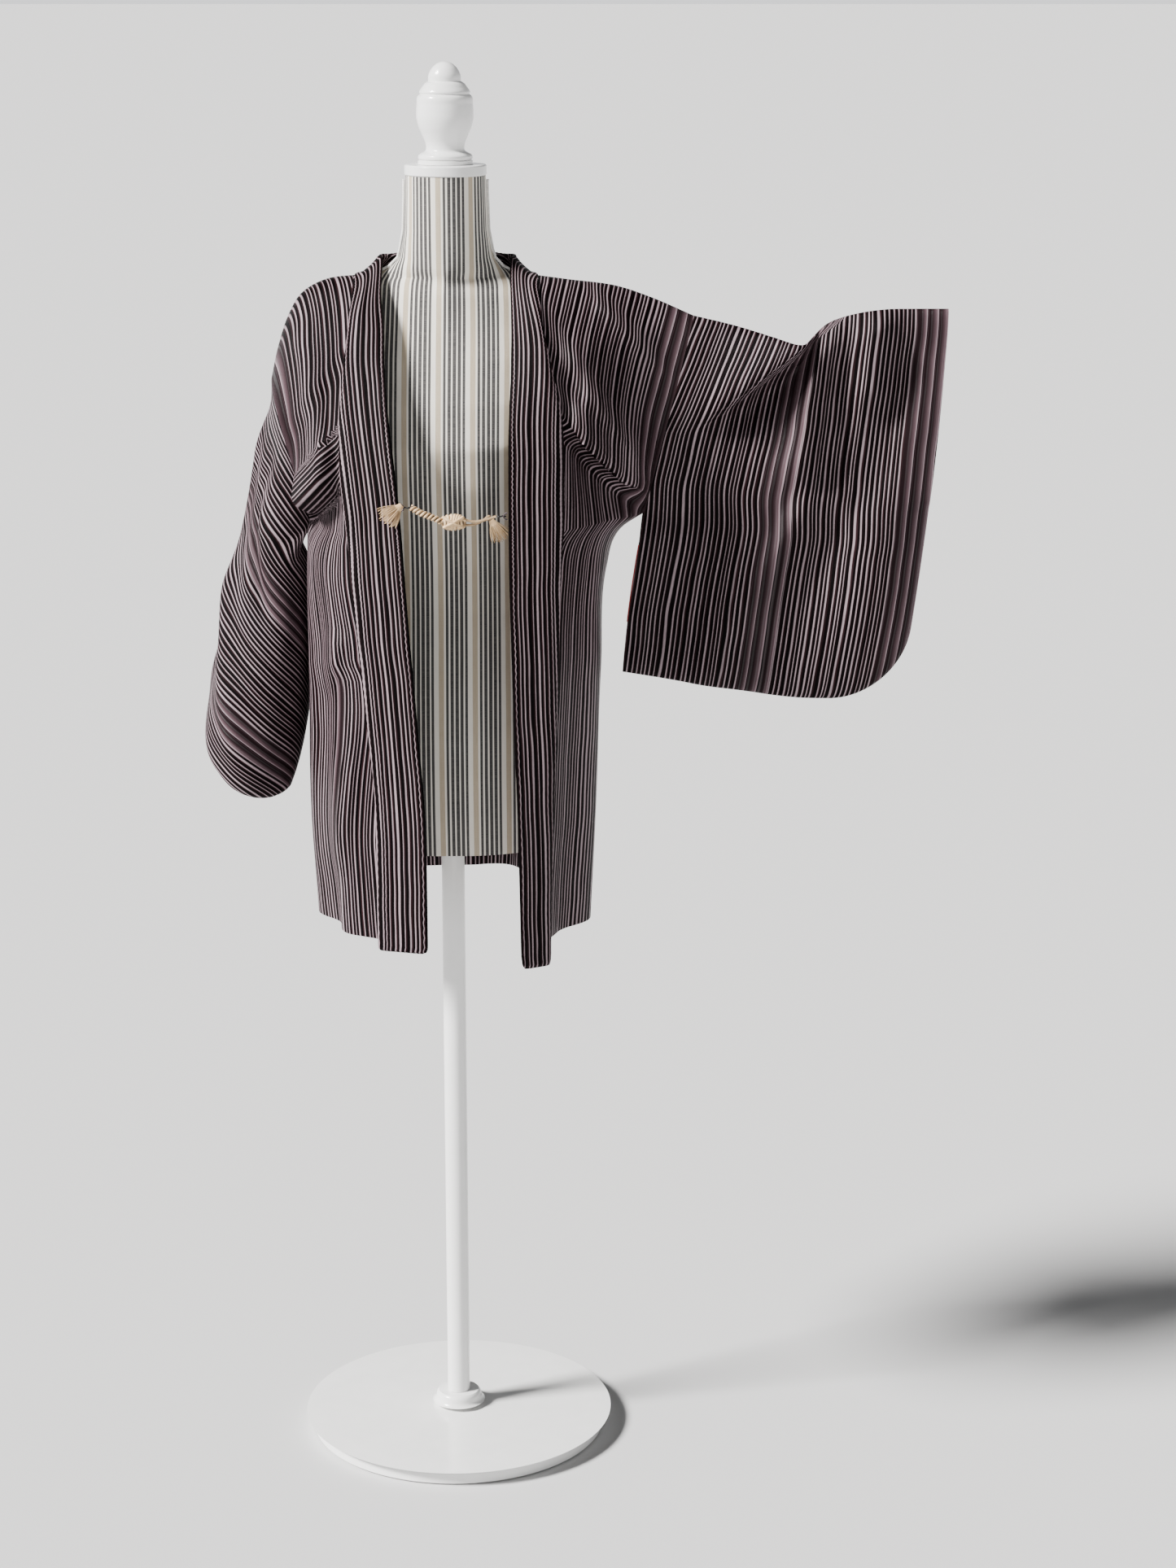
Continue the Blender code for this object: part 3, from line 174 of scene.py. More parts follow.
# The shoulder fold, from the neck out to the armhole seam.
SHOULDER = {
    "left": Table("across x y z", [
        (0.100, 0.100, 0.000, 1.4995),
        (0.145, 0.146, 0.000, 1.4935),
        (0.200, 0.203, 0.000, 1.486),
        (0.245, 0.246, 0.000, 1.472),
        (0.300, 0.297, 0.000, 1.450),
    ]),
    "right": Table("across x y z", [
        (0.100, 0.100, 0.000, 1.4995),
        (0.145, 0.146, 0.000, 1.4935),
        (0.178, 0.175, 0.002, 1.477),
        (0.210, 0.192, 0.010, 1.450),
        (0.250, 0.206, 0.022, 1.412),
        (0.300, 0.2165, 0.036, 1.372),
    ]),
}
NAPE_Y = 0.068
NAPE_Z = 1.489

# How far the cloth stands out in front, behind and sideways halfway down each
# armhole, and how far out along the sleeve the armhole's own shape is felt.
ARMHOLE_SWELL = {"left": (0.024, 0.022, 0.0), "right": (0.050, 0.034, -0.004)}
ARMHOLE_REACH = {"left": 0.11, "right": 0.07}

# The collar's folded edge, from the hem up to the side of the neck.
COLLAR_FOLD = {
    "left": Table("z x y", [
        (0.678, 0.089, -0.178),
        (0.872, 0.085, -0.175),
        (1.021, 0.080, -0.171),
        (1.226, 0.076, -0.163),
        (1.300, 0.076, -0.152),
        (1.356, 0.077, -0.133),
        (1.400, 0.079, -0.110),
        (1.445, 0.079, -0.080),
        (1.490, 0.077, -0.040),
        (1.520, 0.076, 0.002),
    ]),
    "right": Table("z x y", [
        (0.698, 0.023, -0.178),
        (0.872, 0.025, -0.175),
        (0.972, 0.032, -0.172),
        (1.120, 0.043, -0.167),
        (1.238, 0.051, -0.162),
        (1.300, 0.058, -0.152),
        (1.356, 0.065, -0.134),
        (1.400, 0.069, -0.110),
        (1.447, 0.071, -0.080),
        (1.490, 0.076, -0.040),
        (1.520, 0.076, 0.002),
    ]),
}
# Round the neck, by share of the way from the shoulder to the centre back: the
# four steps across the band from its seam, which stand up and then turn outwards
# and down. Each has a width, and a way to go: 0 is to the neck, 90 up, 180 away.
NAPE = Table("share way_1 way_2 way_3 way_4 width_1 width_2 width_3 width_4", [
    (0.2, 49, 52, 56, 60, 0.0085, 0.0080, 0.0045, 0.0035),
    (0.3, 56, 58, 90, 140, 0.0090, 0.0080, 0.0040, 0.0030),
    (0.4, 60, 62, 150, 246, 0.0110, 0.0110, 0.0075, 0.0115),
    (0.6, 75, 72, 165, 255, 0.0130, 0.0130, 0.0078, 0.0170),
    (0.8, 90, 80, 172, 258, 0.0145, 0.0145, 0.0080, 0.0205),
    (1.0, 100, 85, 175, 258, 0.0150, 0.0150, 0.0080, 0.0220),
])
COLLAR_RISE = 0.018  # how much higher the folded edge is than the seam, on the shoulder
COLLAR_NECK_LAP = 0.008  # how far the collar lies on the back panels

# The red lining that shows past the held-out sleeve's open inner edge, on the
# rows of that sleeve's grid counted from its top fold.
LINING_FIRST_ROW = 67
LINING_LAST_ROW = 88
LINING_WIDTH = 0.014
LINING_SHOWS = 0.0015
LINING_THICKNESS = 0.0010

# The cord that ties the fronts: thread loops on the collar, metal hooks, a
# thick braid, a knot, two thin cords and two tassels.
TIE_HEIGHT = {"left": 1.233, "right": 1.243}
LOOP_HALF = 0.004
LOOP_REACH = 0.0045
LOOP_GAP = 0.0007
TIE_GAP = 0.0008  # where the cords meet the knot and the tassel at a slant
HOOK_EYE = 0.0025
HOOK_RADIUS = 0.0008
THIN_RADIUS = 0.0016
KNOT_CENTRE = (0.012, -0.168, 1.227)
KNOT_HALF = (0.014, 0.006, 0.0105)
TASSEL_HEAD = (0.0110, 0.0056)
TASSEL_HEAD_HEIGHT = 0.007
TASSEL_LENGTH = 0.027
TASSEL_ROOT = {"left": (0.0560, -0.1530, 1.2270), "right": (-0.0480, -0.1700, 1.2475)}
TASSEL_WAY = {"left": (0.50, 0.18, -0.85), "right": (-0.75, -0.03, -0.65)}
TASSEL_SPREAD = {"left": 0.9, "right": 1.1}

# The form and its stand.
CHEST_TOP = 1.405
CHEST_RINGS = 12
PIPING_RADIUS = 0.0016
PIPING_TOP = 1.612
PIPING_LOW = 1.4979
PIPING_END = 0.086  # how far from the middle the piping ends on the shoulder
NECK_DISC = [(1.6173, 0.0478), (1.6188, 0.0492), (1.6284, 0.0492), (1.6300, 0.0478)]
FINIAL = [
    (1.6303, 0.0330), (1.6345, 0.0330), (1.6355, 0.0305), (1.6366, 0.0322), (1.6395, 0.0325),
    (1.6425, 0.0300), (1.6455, 0.0245), (1.6500, 0.0230), (1.6550, 0.0238), (1.6640, 0.0274),
    (1.6750, 0.0320), (1.6870, 0.0342), (1.7000, 0.0336), (1.7105, 0.0316), (1.7120, 0.0294),
    (1.7140, 0.0304), (1.7200, 0.0270), (1.7255, 0.0222), (1.7270, 0.0196), (1.7310, 0.0196),
    (1.7380, 0.0176), (1.7450, 0.0122), (1.7490, 0.0055), (1.7500, 0.0015),
]
POLE = [(0.0443, 0.0145), (0.7997, 0.0145)]
BASE = [
    (0.0000, 0.1860), (0.0030, 0.1900), (0.0130, 0.1900), (0.0190, 0.1860), (0.0225, 0.1760),
    (0.0240, 0.0520), (0.0300, 0.0340), (0.0420, 0.0280), (0.0440, 0.0260),
]

# The held-out sleeve: its top fold, the line level with the armhole's lower
# end, and its lower edge, at distances across from the armhole seam.
SLEEVE_OUT = Table("across top_x top_z mid_x mid_z low_x low_z", [
    (0.000, 0.297, 1.450, 0.240, 1.212, 0.213, 1.011),
    (0.050, 0.344, 1.439, 0.292, 1.208, 0.262, 1.003),
    (0.100, 0.393, 1.426, 0.343, 1.204, 0.314, 0.994),
    (0.140, 0.428, 1.4175, 0.384, 1.202, 0.355, 0.988),
    (0.160, 0.444, 1.428, 0.405, 1.203, 0.376, 0.985),
    (0.185, 0.461, 1.442, 0.431, 1.206, 0.401, 0.981),
    (0.215, 0.488, 1.451, 0.462, 1.210, 0.432, 0.978),
    (0.265, 0.537, 1.458, 0.514, 1.213, 0.484, 0.977),
    (0.335, 0.605, 1.458, 0.587, 1.215, 0.556, 0.976),
])

# The hanging sleeve is turned out of the level, and its cloth wraps round an
# upright curve. The curve's heading, in degrees, is given by the distance from
# the sleeve's outer outline: 90 comes to the front, 0 goes to the coat.
SLEEVE_TURN = math.radians(45)
SLEEVE_WRAP = Table("distance heading", [
    (-0.320, 96), (-0.200, 95), (-0.120, 94), (-0.050, 92), (0.000, 76),
    (0.045, 36), (0.085, 4), (0.120, -28), (0.160, -68), (0.200, -86), (0.420, -90),
])
SLEEVE_HANG = Table("drop outline x y z wrap", [
    (0.000, 0.113, 0.214, 0.000, 1.372, 0.38),
    (0.080, 0.093, 0.219, 0.002, 1.300, 0.38),
    (0.165, 0.071, 0.231, 0.004, 1.216, 0.42),
    (0.260, 0.047, 0.251, 0.002, 1.122, 0.56),
    (0.350, 0.024, 0.274, -0.004, 1.036, 0.72),
    (0.470, -0.006, 0.302, -0.010, 0.922, 0.86),
    (0.620, -0.044, 0.324, -0.014, 0.790, 0.90),
])
HANG_STEPS = 400

# Half the distance between the two layers of a sleeve.
SLEEVE_FILL = 0.009
SLEEVE_EDGE = 0.035  # how far from a closed edge the layers part fully
FURI_PART = 0.008  # half the gap between the layers at the open inner edge
FURI_START = 0.15  # share of that edge over which the gap opens
FURI_MEET = np.array([0.2, 0.6, 0.6])  # and over which it comes away from the armhole, by axis


def marks(columns, rows):
    """Rows of numbers as marks with named values."""
    return [dict(zip(columns.split(), row)) for row in rows]


# Folds: ridges from one point to another, in metres across and up. Each stands
# out by its height and falls away over one reach above it, another below.
FOLD = "x0 z0 x1 z1 height above below"
SLEEVE_FOLDS = {
    "left": marks(FOLD, [
        (0.150, 0.010, 0.045, -0.110, 0.031, 0.050, 0.015),
        (0.168, -0.008, 0.070, -0.124, -0.016, 0.010, 0.024),
        (0.160, -0.010, 0.180, -0.200, 0.013, 0.018, 0.014),
        (0.206, -0.050, 0.220, -0.200, -0.014, 0.020, 0.018),
        (0.246, -0.010, 0.252, -0.110, 0.012, 0.020, 0.020),
        (0.290, -0.050, 0.268, -0.230, -0.009, 0.022, 0.022),
        (0.190, -0.215, 0.130, -0.380, 0.012, 0.016, 0.026),
        (0.050, -0.160, 0.030, -0.430, -0.008, 0.024, 0.024),
        (0.225, -0.250, 0.190, -0.450, -0.009, 0.022, 0.022),
        (0.190, 0.000, 0.165, -0.200, 0.010, 0.024, 0.024),
        (0.250, 0.000, 0.222, -0.170, 0.008, 0.022, 0.022),
        (0.125, -0.240, 0.100, -0.475, 0.008, 0.028, 0.028),
        (0.300, -0.120, 0.260, -0.430, 0.008, 0.032, 0.032),
    ]),
    "right": marks(FOLD, [
        (0.080, -0.020, 0.190, -0.230, 0.011, 0.018, 0.022),
        (0.030, -0.080, 0.130, -0.300, -0.010, 0.018, 0.018),
        (0.220, -0.050, 0.320, -0.260, 0.009, 0.020, 0.020),
        (0.150, -0.180, 0.300, -0.400, 0.010, 0.018, 0.020),
    ]),
}
BODY_FOLDS = {
    "left": marks(FOLD, [
        (0.139, 1.352, 0.232, 1.252, 0.030, 0.034, 0.008),
        (0.150, 1.318, 0.222, 1.232, -0.028, 0.010, 0.036),
        (0.141, 1.422, 0.229, 1.284, 0.013, 0.030, 0.009),
        (0.173, 1.482, 0.240, 1.415, 0.008, 0.020, 0.009),
    ]),
    "right": marks(FOLD, [
        (0.116, 1.306, 0.190, 1.222, 0.032, 0.020, 0.015),
        (0.120, 1.268, 0.176, 1.196, -0.026, 0.008, 0.034),
        (0.100, 0.990, 0.140, 0.790, 0.009, 0.030, 0.012),
        (0.122, 1.080, 0.150, 1.010, 0.008, 0.020, 0.010),
        (0.165, 1.440, 0.142, 1.300, 0.014, 0.018, 0.018),
    ]),
}

# How much of each metre of cloth across X and along Y shows on the front panels.
SHOWN_SHARE = np.array([1.12, 0.85, 0.0])
ARMHOLE_ALONG = 0.29  # along the flat cloth from the armhole's lower end to the shoulder fold
GUSSET_ACROSS = 0.4  # where the gussets lie across the silk's pattern

# Where the cloth is drawn askew its stripes are too. A lean shifts the stripes
# across by its rate for each metre of height, above a line in the panel's own X
# and Z. From a top height it grows down to the line, and from a low height up.
LEAN = "x0 z0 x1 z1 low top rate fade"
STRIPE_LEANS = {
    "sleeve_left": marks(LEAN, [(0.312, 1.322, 0.430, 1.413, 1.312, 0, -0.17, 0.0)]),
    "sleeve_right": marks(LEAN, [(0.100, 1.180, 0.300, 1.180, 0, 1.390, 0.25, 0.0)]),
    "body_left": marks(LEAN, [(0.139, 1.354, 0.230, 1.256, 0, 1.492, 0.16, 1.0)]),
}
LEAN_SOFT = 0.003
# A bend shifts all stripes on the lower side of a line across by one amount.
BEND = "x0 z0 x1 z1 half shift"
STRIPE_BENDS = {
    "body_right": marks(BEND, [
        (0.110, 1.420, 0.160, 1.350, 0.012, 0.007),
        (0.118, 1.306, 0.184, 1.234, 0.014, -0.020),
        (0.080, 1.140, 0.200, 1.110, 0.080, 0.022),
        (0.080, 1.050, 0.200, 1.020, 0.014, 0.009),
        (0.060, 0.930, 0.200, 0.870, 0.090, -0.025),
    ]),
    "body_left": marks(BEND, [
        (0.173, 1.488, 0.235, 1.422, 0.010, -0.008),
        (0.141, 1.422, 0.229, 1.284, 0.012, -0.012),
        (0.145, 1.364, 0.236, 1.266, 0.010, -0.010),
        (0.131, 1.340, 0.222, 1.242, 0.013, 0.028),
    ]),
    "sleeve_left": marks(BEND, [(0.280, 1.225, 0.640, 1.175, 0.030, -0.009)]),
}
# A roll has its stripes along it, placed by how far they are from its line. It is
# cut off at its edges and its inner end, and shows more cloth than its width.
ROLLS = {
    "body_right": marks("x0 z0 x1 z1 above below first", [(0.114, 1.312, 0.194, 1.220, 0.020, 0.031, 0.21)]),
}
ROLL_EDGE = 0.0012
ROLL_END = 0.012
ROLL_SHOWS = 1.35
# Cloth near an armhole's top that shows less of its width: the change at the top,
# and between which heights it comes in.
DRAWN_IN = {"sleeve_right": (-0.46, 1.20, 1.32)}
# How far the cloth sags over the lower side of a fold, and over what reach.
FOLD_SAGS = dict(zip(SIGN, marks("x0 z0 x1 z1 sag above below", [
    (0.139, 1.356, 0.232, 1.256, 0.013, 0.024, 0.006),
    (0.116, 1.286, 0.184, 1.208, 0.004, 0.020, 0.010),
])))


def smooth(t):
    """0 to 1 with level ends."""
    t = np.clip(t, 0.0, 1.0)
    return t * t * (3 - 2 * t)


def unit(ways):
    """The same ways with a length of 1."""
    return ways / np.linalg.norm(ways, axis=-1, keepdims=True)


def run_along(points, axis=0):
    """How far each point is along a line of points, or along an axis of a grid."""
    steps = np.linalg.norm(np.diff(points, axis=axis), axis=-1)
    start = np.zeros_like(np.take(steps, [0], axis=axis))
    return np.concatenate([start, np.cumsum(steps, axis=axis)], axis=axis)


def paired(across, along):
    """Two tables of one grid as places on the flat cloth."""
    return np.stack(np.broadcast_arrays(across, along), -1)


def by_mark(mark, x, z):
    """How far points are along a mark's line, from 0 to 1, and how far above it."""
    run_x, run_z = mark["x1"] - mark["x0"], mark["z1"] - mark["z0"]
    dx, dz = x - mark["x0"], z - mark["z0"]
    length = math.hypot(run_x, run_z)
    far = (run_x * dz - run_z * dx) / math.copysign(length, run_x)
    return (dx * run_x + dz * run_z) / length**2, far


def fold_height(folds, across, up):
    """How far the folds lift the cloth at each point."""
    total = np.zeros_like(across)
    for fold in folds:
        along, far = by_mark(fold, across, up)
        reach = np.where(far > 0, fold["above"], fold["below"])
        fade = smooth((along + 0.15) / 0.3) * smooth((1.2 - along) / 0.4)
        total += fold["height"] * fade * np.exp(-((far / reach) ** 2))
    return total


def upper_shares():
    """Rows from the armhole's lower end, 1, up to the shoulder fold, 0."""
    return (np.arange(UPPER_ROWS, -1, -1) / UPPER_ROWS) ** ROW_CROWDING


def front_shares():
    """Columns of a front panel, 0 at the collar and 1 at the side."""
    return np.concatenate([[0.0], np.linspace(COLLAR_LAP, 1.0, FRONT_COLUMNS)])


def back_shares():
    """Columns of a back panel, 0 at the centre back and 1 at the side."""
    outer = NECK_HALF + (HALF_BACK - NECK_HALF) * front_shares()
    neck = np.linspace(0.0, NECK_HALF, NECK_COLUMNS + 1)[:-1]
    return np.concatenate([neck, outer]) / HALF_BACK


def lower_rows():
    """Rows of the body below the armholes, 0 at the hem and 1 at the top."""
    return 1 - np.linspace(1.0, 0.0, LOWER_ROWS + 1) ** ROW_CROWDING


def height_at(side, up, share):
    """A row's height, level with the other half's at the centre back, share 0."""
    hem = sum(HEM_Z.values()) / 2
    top = sum(ARMHOLE_Z.values()) / 2
    middle = hem + (top - hem) * up
    own = HEM_Z[side] + (ARMHOLE_Z[side] - HEM_Z[side]) * up
    return middle + (own - middle) * smooth(share)


def start_angle(side, up):
    """The angle from the front at which a row meets the collar."""
    row = BODY[side](up)
    edge = FRONT_EDGE[side](height_at(side, up, 1.0))["x"]
    return np.arcsin((edge / row["half_width"]) ** (1 / row["point"]))


def ring_reach(side, up):
    """How far a row would reach ahead of and behind its widest place."""
    row = BODY[side](up)
    ahead = (row["side_y"] - row["seam_y"]) / np.cos(start_angle(side, up)) ** row["point"]
    return ahead, row["back"] - row["side_y"]


def ring_point(side, angle, up, z):
    """A point of the body below the armholes, at an angle from the front."""
    row = BODY[side](up)
    ahead, behind = ring_reach(side, up)
    reach = np.where(angle < math.pi / 2, ahead, behind)
    turn = np.abs(np.cos(angle)) ** row["point"] * np.sign(np.cos(angle))
    x = row["half_width"] * np.abs(np.sin(angle)) ** row["point"]
    y = row["side_y"] - reach * turn
    out = unit(np.stack([np.sin(angle) / row["half_width"], -np.cos(angle) / reach], -1))
    lift = np.zeros_like(x)
    for degrees, height, width in FLUTES[side]:
        lift += height * np.exp(-(((np.degrees(angle) - degrees) / width) ** 2))
    lift *= row["flutes"] * smooth((180 - np.degrees(angle)) / 12)
    return np.stack([x + out[..., 0] * lift, y + out[..., 1] * lift, z], -1)


def gusset_angles(side, up):
    """The angles that the gusset takes up in a row, ahead of its middle and behind."""
    half = (GUSSET_HEM + (GUSSET_TOP - GUSSET_HEM) * up) / 2
    point = BODY[side](up)["point"]
    return [np.arcsin((half / reach) ** (1 / point)) for reach in ring_reach(side, up)]


def lower_front(side, shares):
    share, up = np.meshgrid(shares, lower_rows())
    start = start_angle(side, up)
    ahead, _ = gusset_angles(side, up)
    angle = start + (math.pi / 2 - ahead - start) * share
    return ring_point(side, angle, up, height_at(side, up, 1.0))


def lower_back(side, shares):
    share, up = np.meshgrid(shares, lower_rows())
    _, behind = gusset_angles(side, up)
    angle = math.pi - (math.pi / 2 - behind) * share
    return ring_point(side, angle, up, height_at(side, up, share))


def rise_to(level, top, rise, swell, sideways):
    """Rows from a level line up over a rounded shoulder to a top line."""
    up = (1 - rise)[:, None]
    ahead = np.sqrt(1 - up**2)
    x = level[:, 0] + (top[:, 0] - level[:, 0]) * up + sideways * 2 * up * ahead
    y = top[:, 1] + (level[:, 1] - top[:, 1]) * ahead + swell * 2 * up * ahead
    z = level[:, 2] + (top[:, 2] - level[:, 2]) * up
    return np.stack([x, y, z], -1)


def front_panel(side, folded=True):
    """The front panel's points, rows from the hem up and columns outwards."""
    shares = front_shares()
    lower = lower_front(side, shares)
    fold = SHOULDER[side](NECK_HALF + (HALF_BACK - NECK_HALF) * shares)
    top = np.stack([fold["x"], fold["y"], fold["z"]], -1)
    ahead, _, sideways = ARMHOLE_SWELL[side]
    upper = rise_to(lower[-1], top, upper_shares(), -ahead * shares**2, sideways * shares**2)
    # The inner edge follows the collar, and the rest keeps its place between.
    edge = FRONT_EDGE[side](upper[:, 0, 2])["x"]
    upper[..., 0] += (edge - upper[:, 0, 0])[:, None] * (1 - shares) ** 2
    grid = np.concatenate([lower, upper[1:]])
    if not folded:
        return grid
    from_top = np.concatenate([np.ones(LOWER_ROWS), upper_shares()])
    mask = smooth((shares - COLLAR_LAP) / 0.2) * smooth((1 - shares) / 0.15)
    mask = mask * smooth(from_top / 0.15)[:, None]
    lift = fold_height(BODY_FOLDS[side], grid[..., 0], grid[..., 2])
    normals = unit(np.cross(np.gradient(grid, axis=1), np.gradient(grid, axis=0)))
    way = normals * 0.4 + np.array([0.0, -0.6, 0.0])
    return sagged(grid + way * (lift * mask)[..., None], side, mask)


def back_panel(side):
    """The back panel's points, rows from the hem up and columns outwards."""
    shares = back_shares()
    lower = lower_back(side, shares)
    across = HALF_BACK * shares
    fold = SHOULDER[side](across)
    top = np.stack([fold["x"], fold["y"], fold["z"]], -1)
    neck = across < NECK_HALF
    turn = across[neck] / NECK_HALF * math.pi / 2
    top[neck, 0] = NECK_HALF * np.sin(turn)
    top[neck, 1] = NAPE_Y * np.cos(turn)
    top[neck, 2] = NAPE_Z + (top[~neck, 2][0] - NAPE_Z) * np.sin(turn) ** 2
    _, behind, sideways = ARMHOLE_SWELL[side]
    upper = rise_to(lower[-1], top, upper_shares(), behind * shares**3, sideways * shares**3)
    return np.concatenate([lower, upper[1:]])


def gusset(side):
    """The gusset's points, rows from the hem up and columns to the back."""
    share, up = np.meshgrid(np.linspace(-1, 1, GUSSET_COLUMNS + 1), lower_rows())
    ahead, behind = gusset_angles(side, up)
    angle = math.pi / 2 + np.where(share < 0, ahead, behind) * share
    return ring_point(side, angle, up, height_at(side, up, 1.0))


def sleeve_outline(down):
    """How wide the sleeve is at a distance below its top fold."""
    over = np.clip((down - (SLEEVE_DEPTH - SLEEVE_CORNER)) / SLEEVE_CORNER, 0, 1)
    return SLEEVE_WIDTH - SLEEVE_CORNER * (1 - np.sqrt(1 - over**2))


def held_out(across, down):
    """The middle of the held-out sleeve, and which way its front faces."""
    row = SLEEVE_OUT(across)
    a, b = down / ARMHOLE, down / SLEEVE_DEPTH
    span = ARMHOLE / SLEEVE_DEPTH
    top = (1 - a) * (1 - b)
    mid = a * (1 - b) / (1 - span)
    low = b * (a - 1) / (1 / span - 1)
    x = row["top_x"] * top + row["mid_x"] * mid + row["low_x"] * low
    z = row["top_z"] * top + row["mid_z"] * mid + row["low_z"] * low
    facing = np.zeros(x.shape + (3,))
    facing[..., 1] = -1
    return np.stack([x, np.zeros_like(x), z], -1), facing


def hanging(across, down):
    """The middle of the hanging sleeve, and which way its outer layer faces."""
    level = -across * math.cos(SLEEVE_TURN) + down * math.sin(SLEEVE_TURN)
    drop = across * math.sin(SLEEVE_TURN) + down * math.cos(SLEEVE_TURN)
    row = SLEEVE_HANG(drop)
    steps = np.linspace(SLEEVE_WRAP.key[0], SLEEVE_WRAP.key[-1], HANG_STEPS)
    heading = np.radians(SLEEVE_WRAP(steps)["heading"])
    walk_x = np.cumsum(np.cos(heading)) * (steps[1] - steps[0])
    walk_y = np.cumsum(-np.sin(heading)) * (steps[1] - steps[0])
    walk_x -= np.interp(0, steps, walk_x)
    walk_y -= np.interp(0, steps, walk_y)
    distance = level - row["outline"]
    x = -row["x"] + row["wrap"] * np.interp(distance, steps, walk_x)
    y = row["y"] + row["wrap"] * np.interp(distance, steps, walk_y)
    turn = np.interp(distance, steps, heading)
    facing = np.stack([-np.sin(turn), -np.cos(turn), np.zeros_like(turn)], -1)
    return np.stack([x, y, row["z"]], -1), facing


def sleeve_cells():
    """A sleeve's rows by how far down they are, and each point's place across and down."""
    lower = np.linspace(0, 1, SLEEVE_LOWER_ROWS + 1)[1:]
    rows = np.concatenate([
        ARMHOLE * upper_shares()[::-1],
        ARMHOLE + (SLEEVE_DEPTH - ARMHOLE) * (1 - (1 - lower) ** CORNER_CROWDING),
    ])
    share, down = np.meshgrid(np.linspace(0, 1, SLEEVE_COLUMNS + 1), rows)
    return rows, share * sleeve_outline(down), down


def sleeve_layer(side, layer, seam):
    """One layer of a sleeve, rows down from the top fold and columns outwards.

    Layer is 1 for the front and -1 for the back, and seam holds the armhole's
    points from the shoulder fold down.
    """
    rows, across, down = sleeve_cells()
    centre, facing = (held_out if side == "left" else hanging)(across, down)
    from_wrist = np.hypot(sleeve_outline(down) - across, np.maximum(0, ARMHOLE - down))
    from_edge = np.minimum(np.minimum(down, SLEEVE_DEPTH - down), from_wrist)
    open_share = np.sqrt(1 - (1 - np.clip(from_edge / SLEEVE_EDGE, 0, 1)) ** 2)
    lift = fold_height(SLEEVE_FOLDS[side], across, -down)
    lift *= smooth(across / 0.05) * smooth(from_wrist / 0.03 + (down < ARMHOLE))
    bag = centre + facing * (layer * SLEEVE_FILL * open_share + lift)[..., None]
    # The inner edge: the armhole's own points, and below them the open edge.
    inner = centre[:, 0].copy()
    below = (rows - ARMHOLE) / (SLEEVE_DEPTH - ARMHOLE)
    part = FURI_PART * open_share[:, SLEEVE_COLUMNS // 2] * smooth(below / FURI_START)
    inner += facing[:, 0] * (layer * part)[:, None]
    low = seam[-1] - centre[len(seam) - 1, 0]
    inner += low * (1 - smooth(below[:, None] / FURI_MEET))
    inner[: len(seam)] = seam
    near = inner[:, None] + centre - centre[:, :1]
    blend = smooth(across / ARMHOLE_REACH[side])[..., None]
    return near * (1 - blend) + bag * blend


class Cloth:
    """Grids sewn to each other along the points that they share."""

    def __init__(self):
        self.points, self.index = [], {}
        self.triangles, self.flat, self.trimmed = {}, {}, {}

    def number(self, point):
        key = tuple(np.round(point, 6))
        if key not in self.index:
            self.index[key] = len(self.points)
            self.points.append(point)
        return self.index[key]

    def add(self, piece, grid, flat, turned=False, crossed=False):
        """Add a grid to a piece, with each point's place on the flat cloth.

        Turned puts its outer side on the other side, and crossed divides its
        cells along their other diagonals.
        """
        numbers = [[self.number(p) for p in row] for row in grid]
        kept = self.flat.setdefault(piece, {})
        for row, places in zip(numbers, flat):
            for number, place in zip(row, places):
                kept.setdefault(number, place)
        found = self.triangles.setdefault(piece, [])
        for low, high in zip(numbers, numbers[1:]):
            for a, b, c, d in zip(low, low[1:], high[1:], high):
                halves = ((a, b, d), (b, c, d)) if crossed else ((a, b, c), (a, c, d))
                found += [t[::-1] if turned else t for t in halves if len(set(t)) == 3]
        return numbers

    def finish(self):
        """Work out the normal at each point, shared by all that meet there."""
        self.points = np.array(self.points)
        self.normals = np.zeros_like(self.points)
        for triangles in self.triangles.values():
            t = np.array(triangles)
            a, b, c = (self.points[t[:, k]] for k in range(3))
            for k in range(3):
                np.add.at(self.normals, t[:, k], np.cross(b - a, c - a))
        self.normals = unit(self.normals)

    def drawn_back(self, piece):
        """The piece's points, each half a seam gap back from its seams, and their normals."""
        others = {i for name, found in self.triangles.items() if name != piece for t in found for i in t}
        edges = {}
        for t in self.triangles[piece]:
            for k in range(3):
                edges.setdefault(frozenset((t[k], t[k - 1])), []).append(t)
        inward = np.zeros_like(self.points)
        for edge, faces in edges.items():
            if len(faces) == 1 and edge <= others:
                a, b = edge
                run = self.points[b] - self.points[a]
                to_middle = self.points[list(faces[0])].mean(axis=0) - self.points[a]
                inward[[a, b]] += unit(to_middle - run * np.dot(to_middle, run) / np.dot(run, run))
        length = np.linalg.norm(inward, axis=1, keepdims=True)
        inward = np.divide(inward, length, out=np.zeros_like(inward), where=length > 0)
        drawn = self.points + inward * SEAM_GAP / 2
        normals = self.normals.copy()
        for end, before in self.trimmed.get(piece, ()):
            drawn[end] += (self.points[before] - self.points[end]) * GUSSET_TRIM + inward[end] * CLOTH / 2
            normals[end] = self.normals[before]
        return drawn, normals


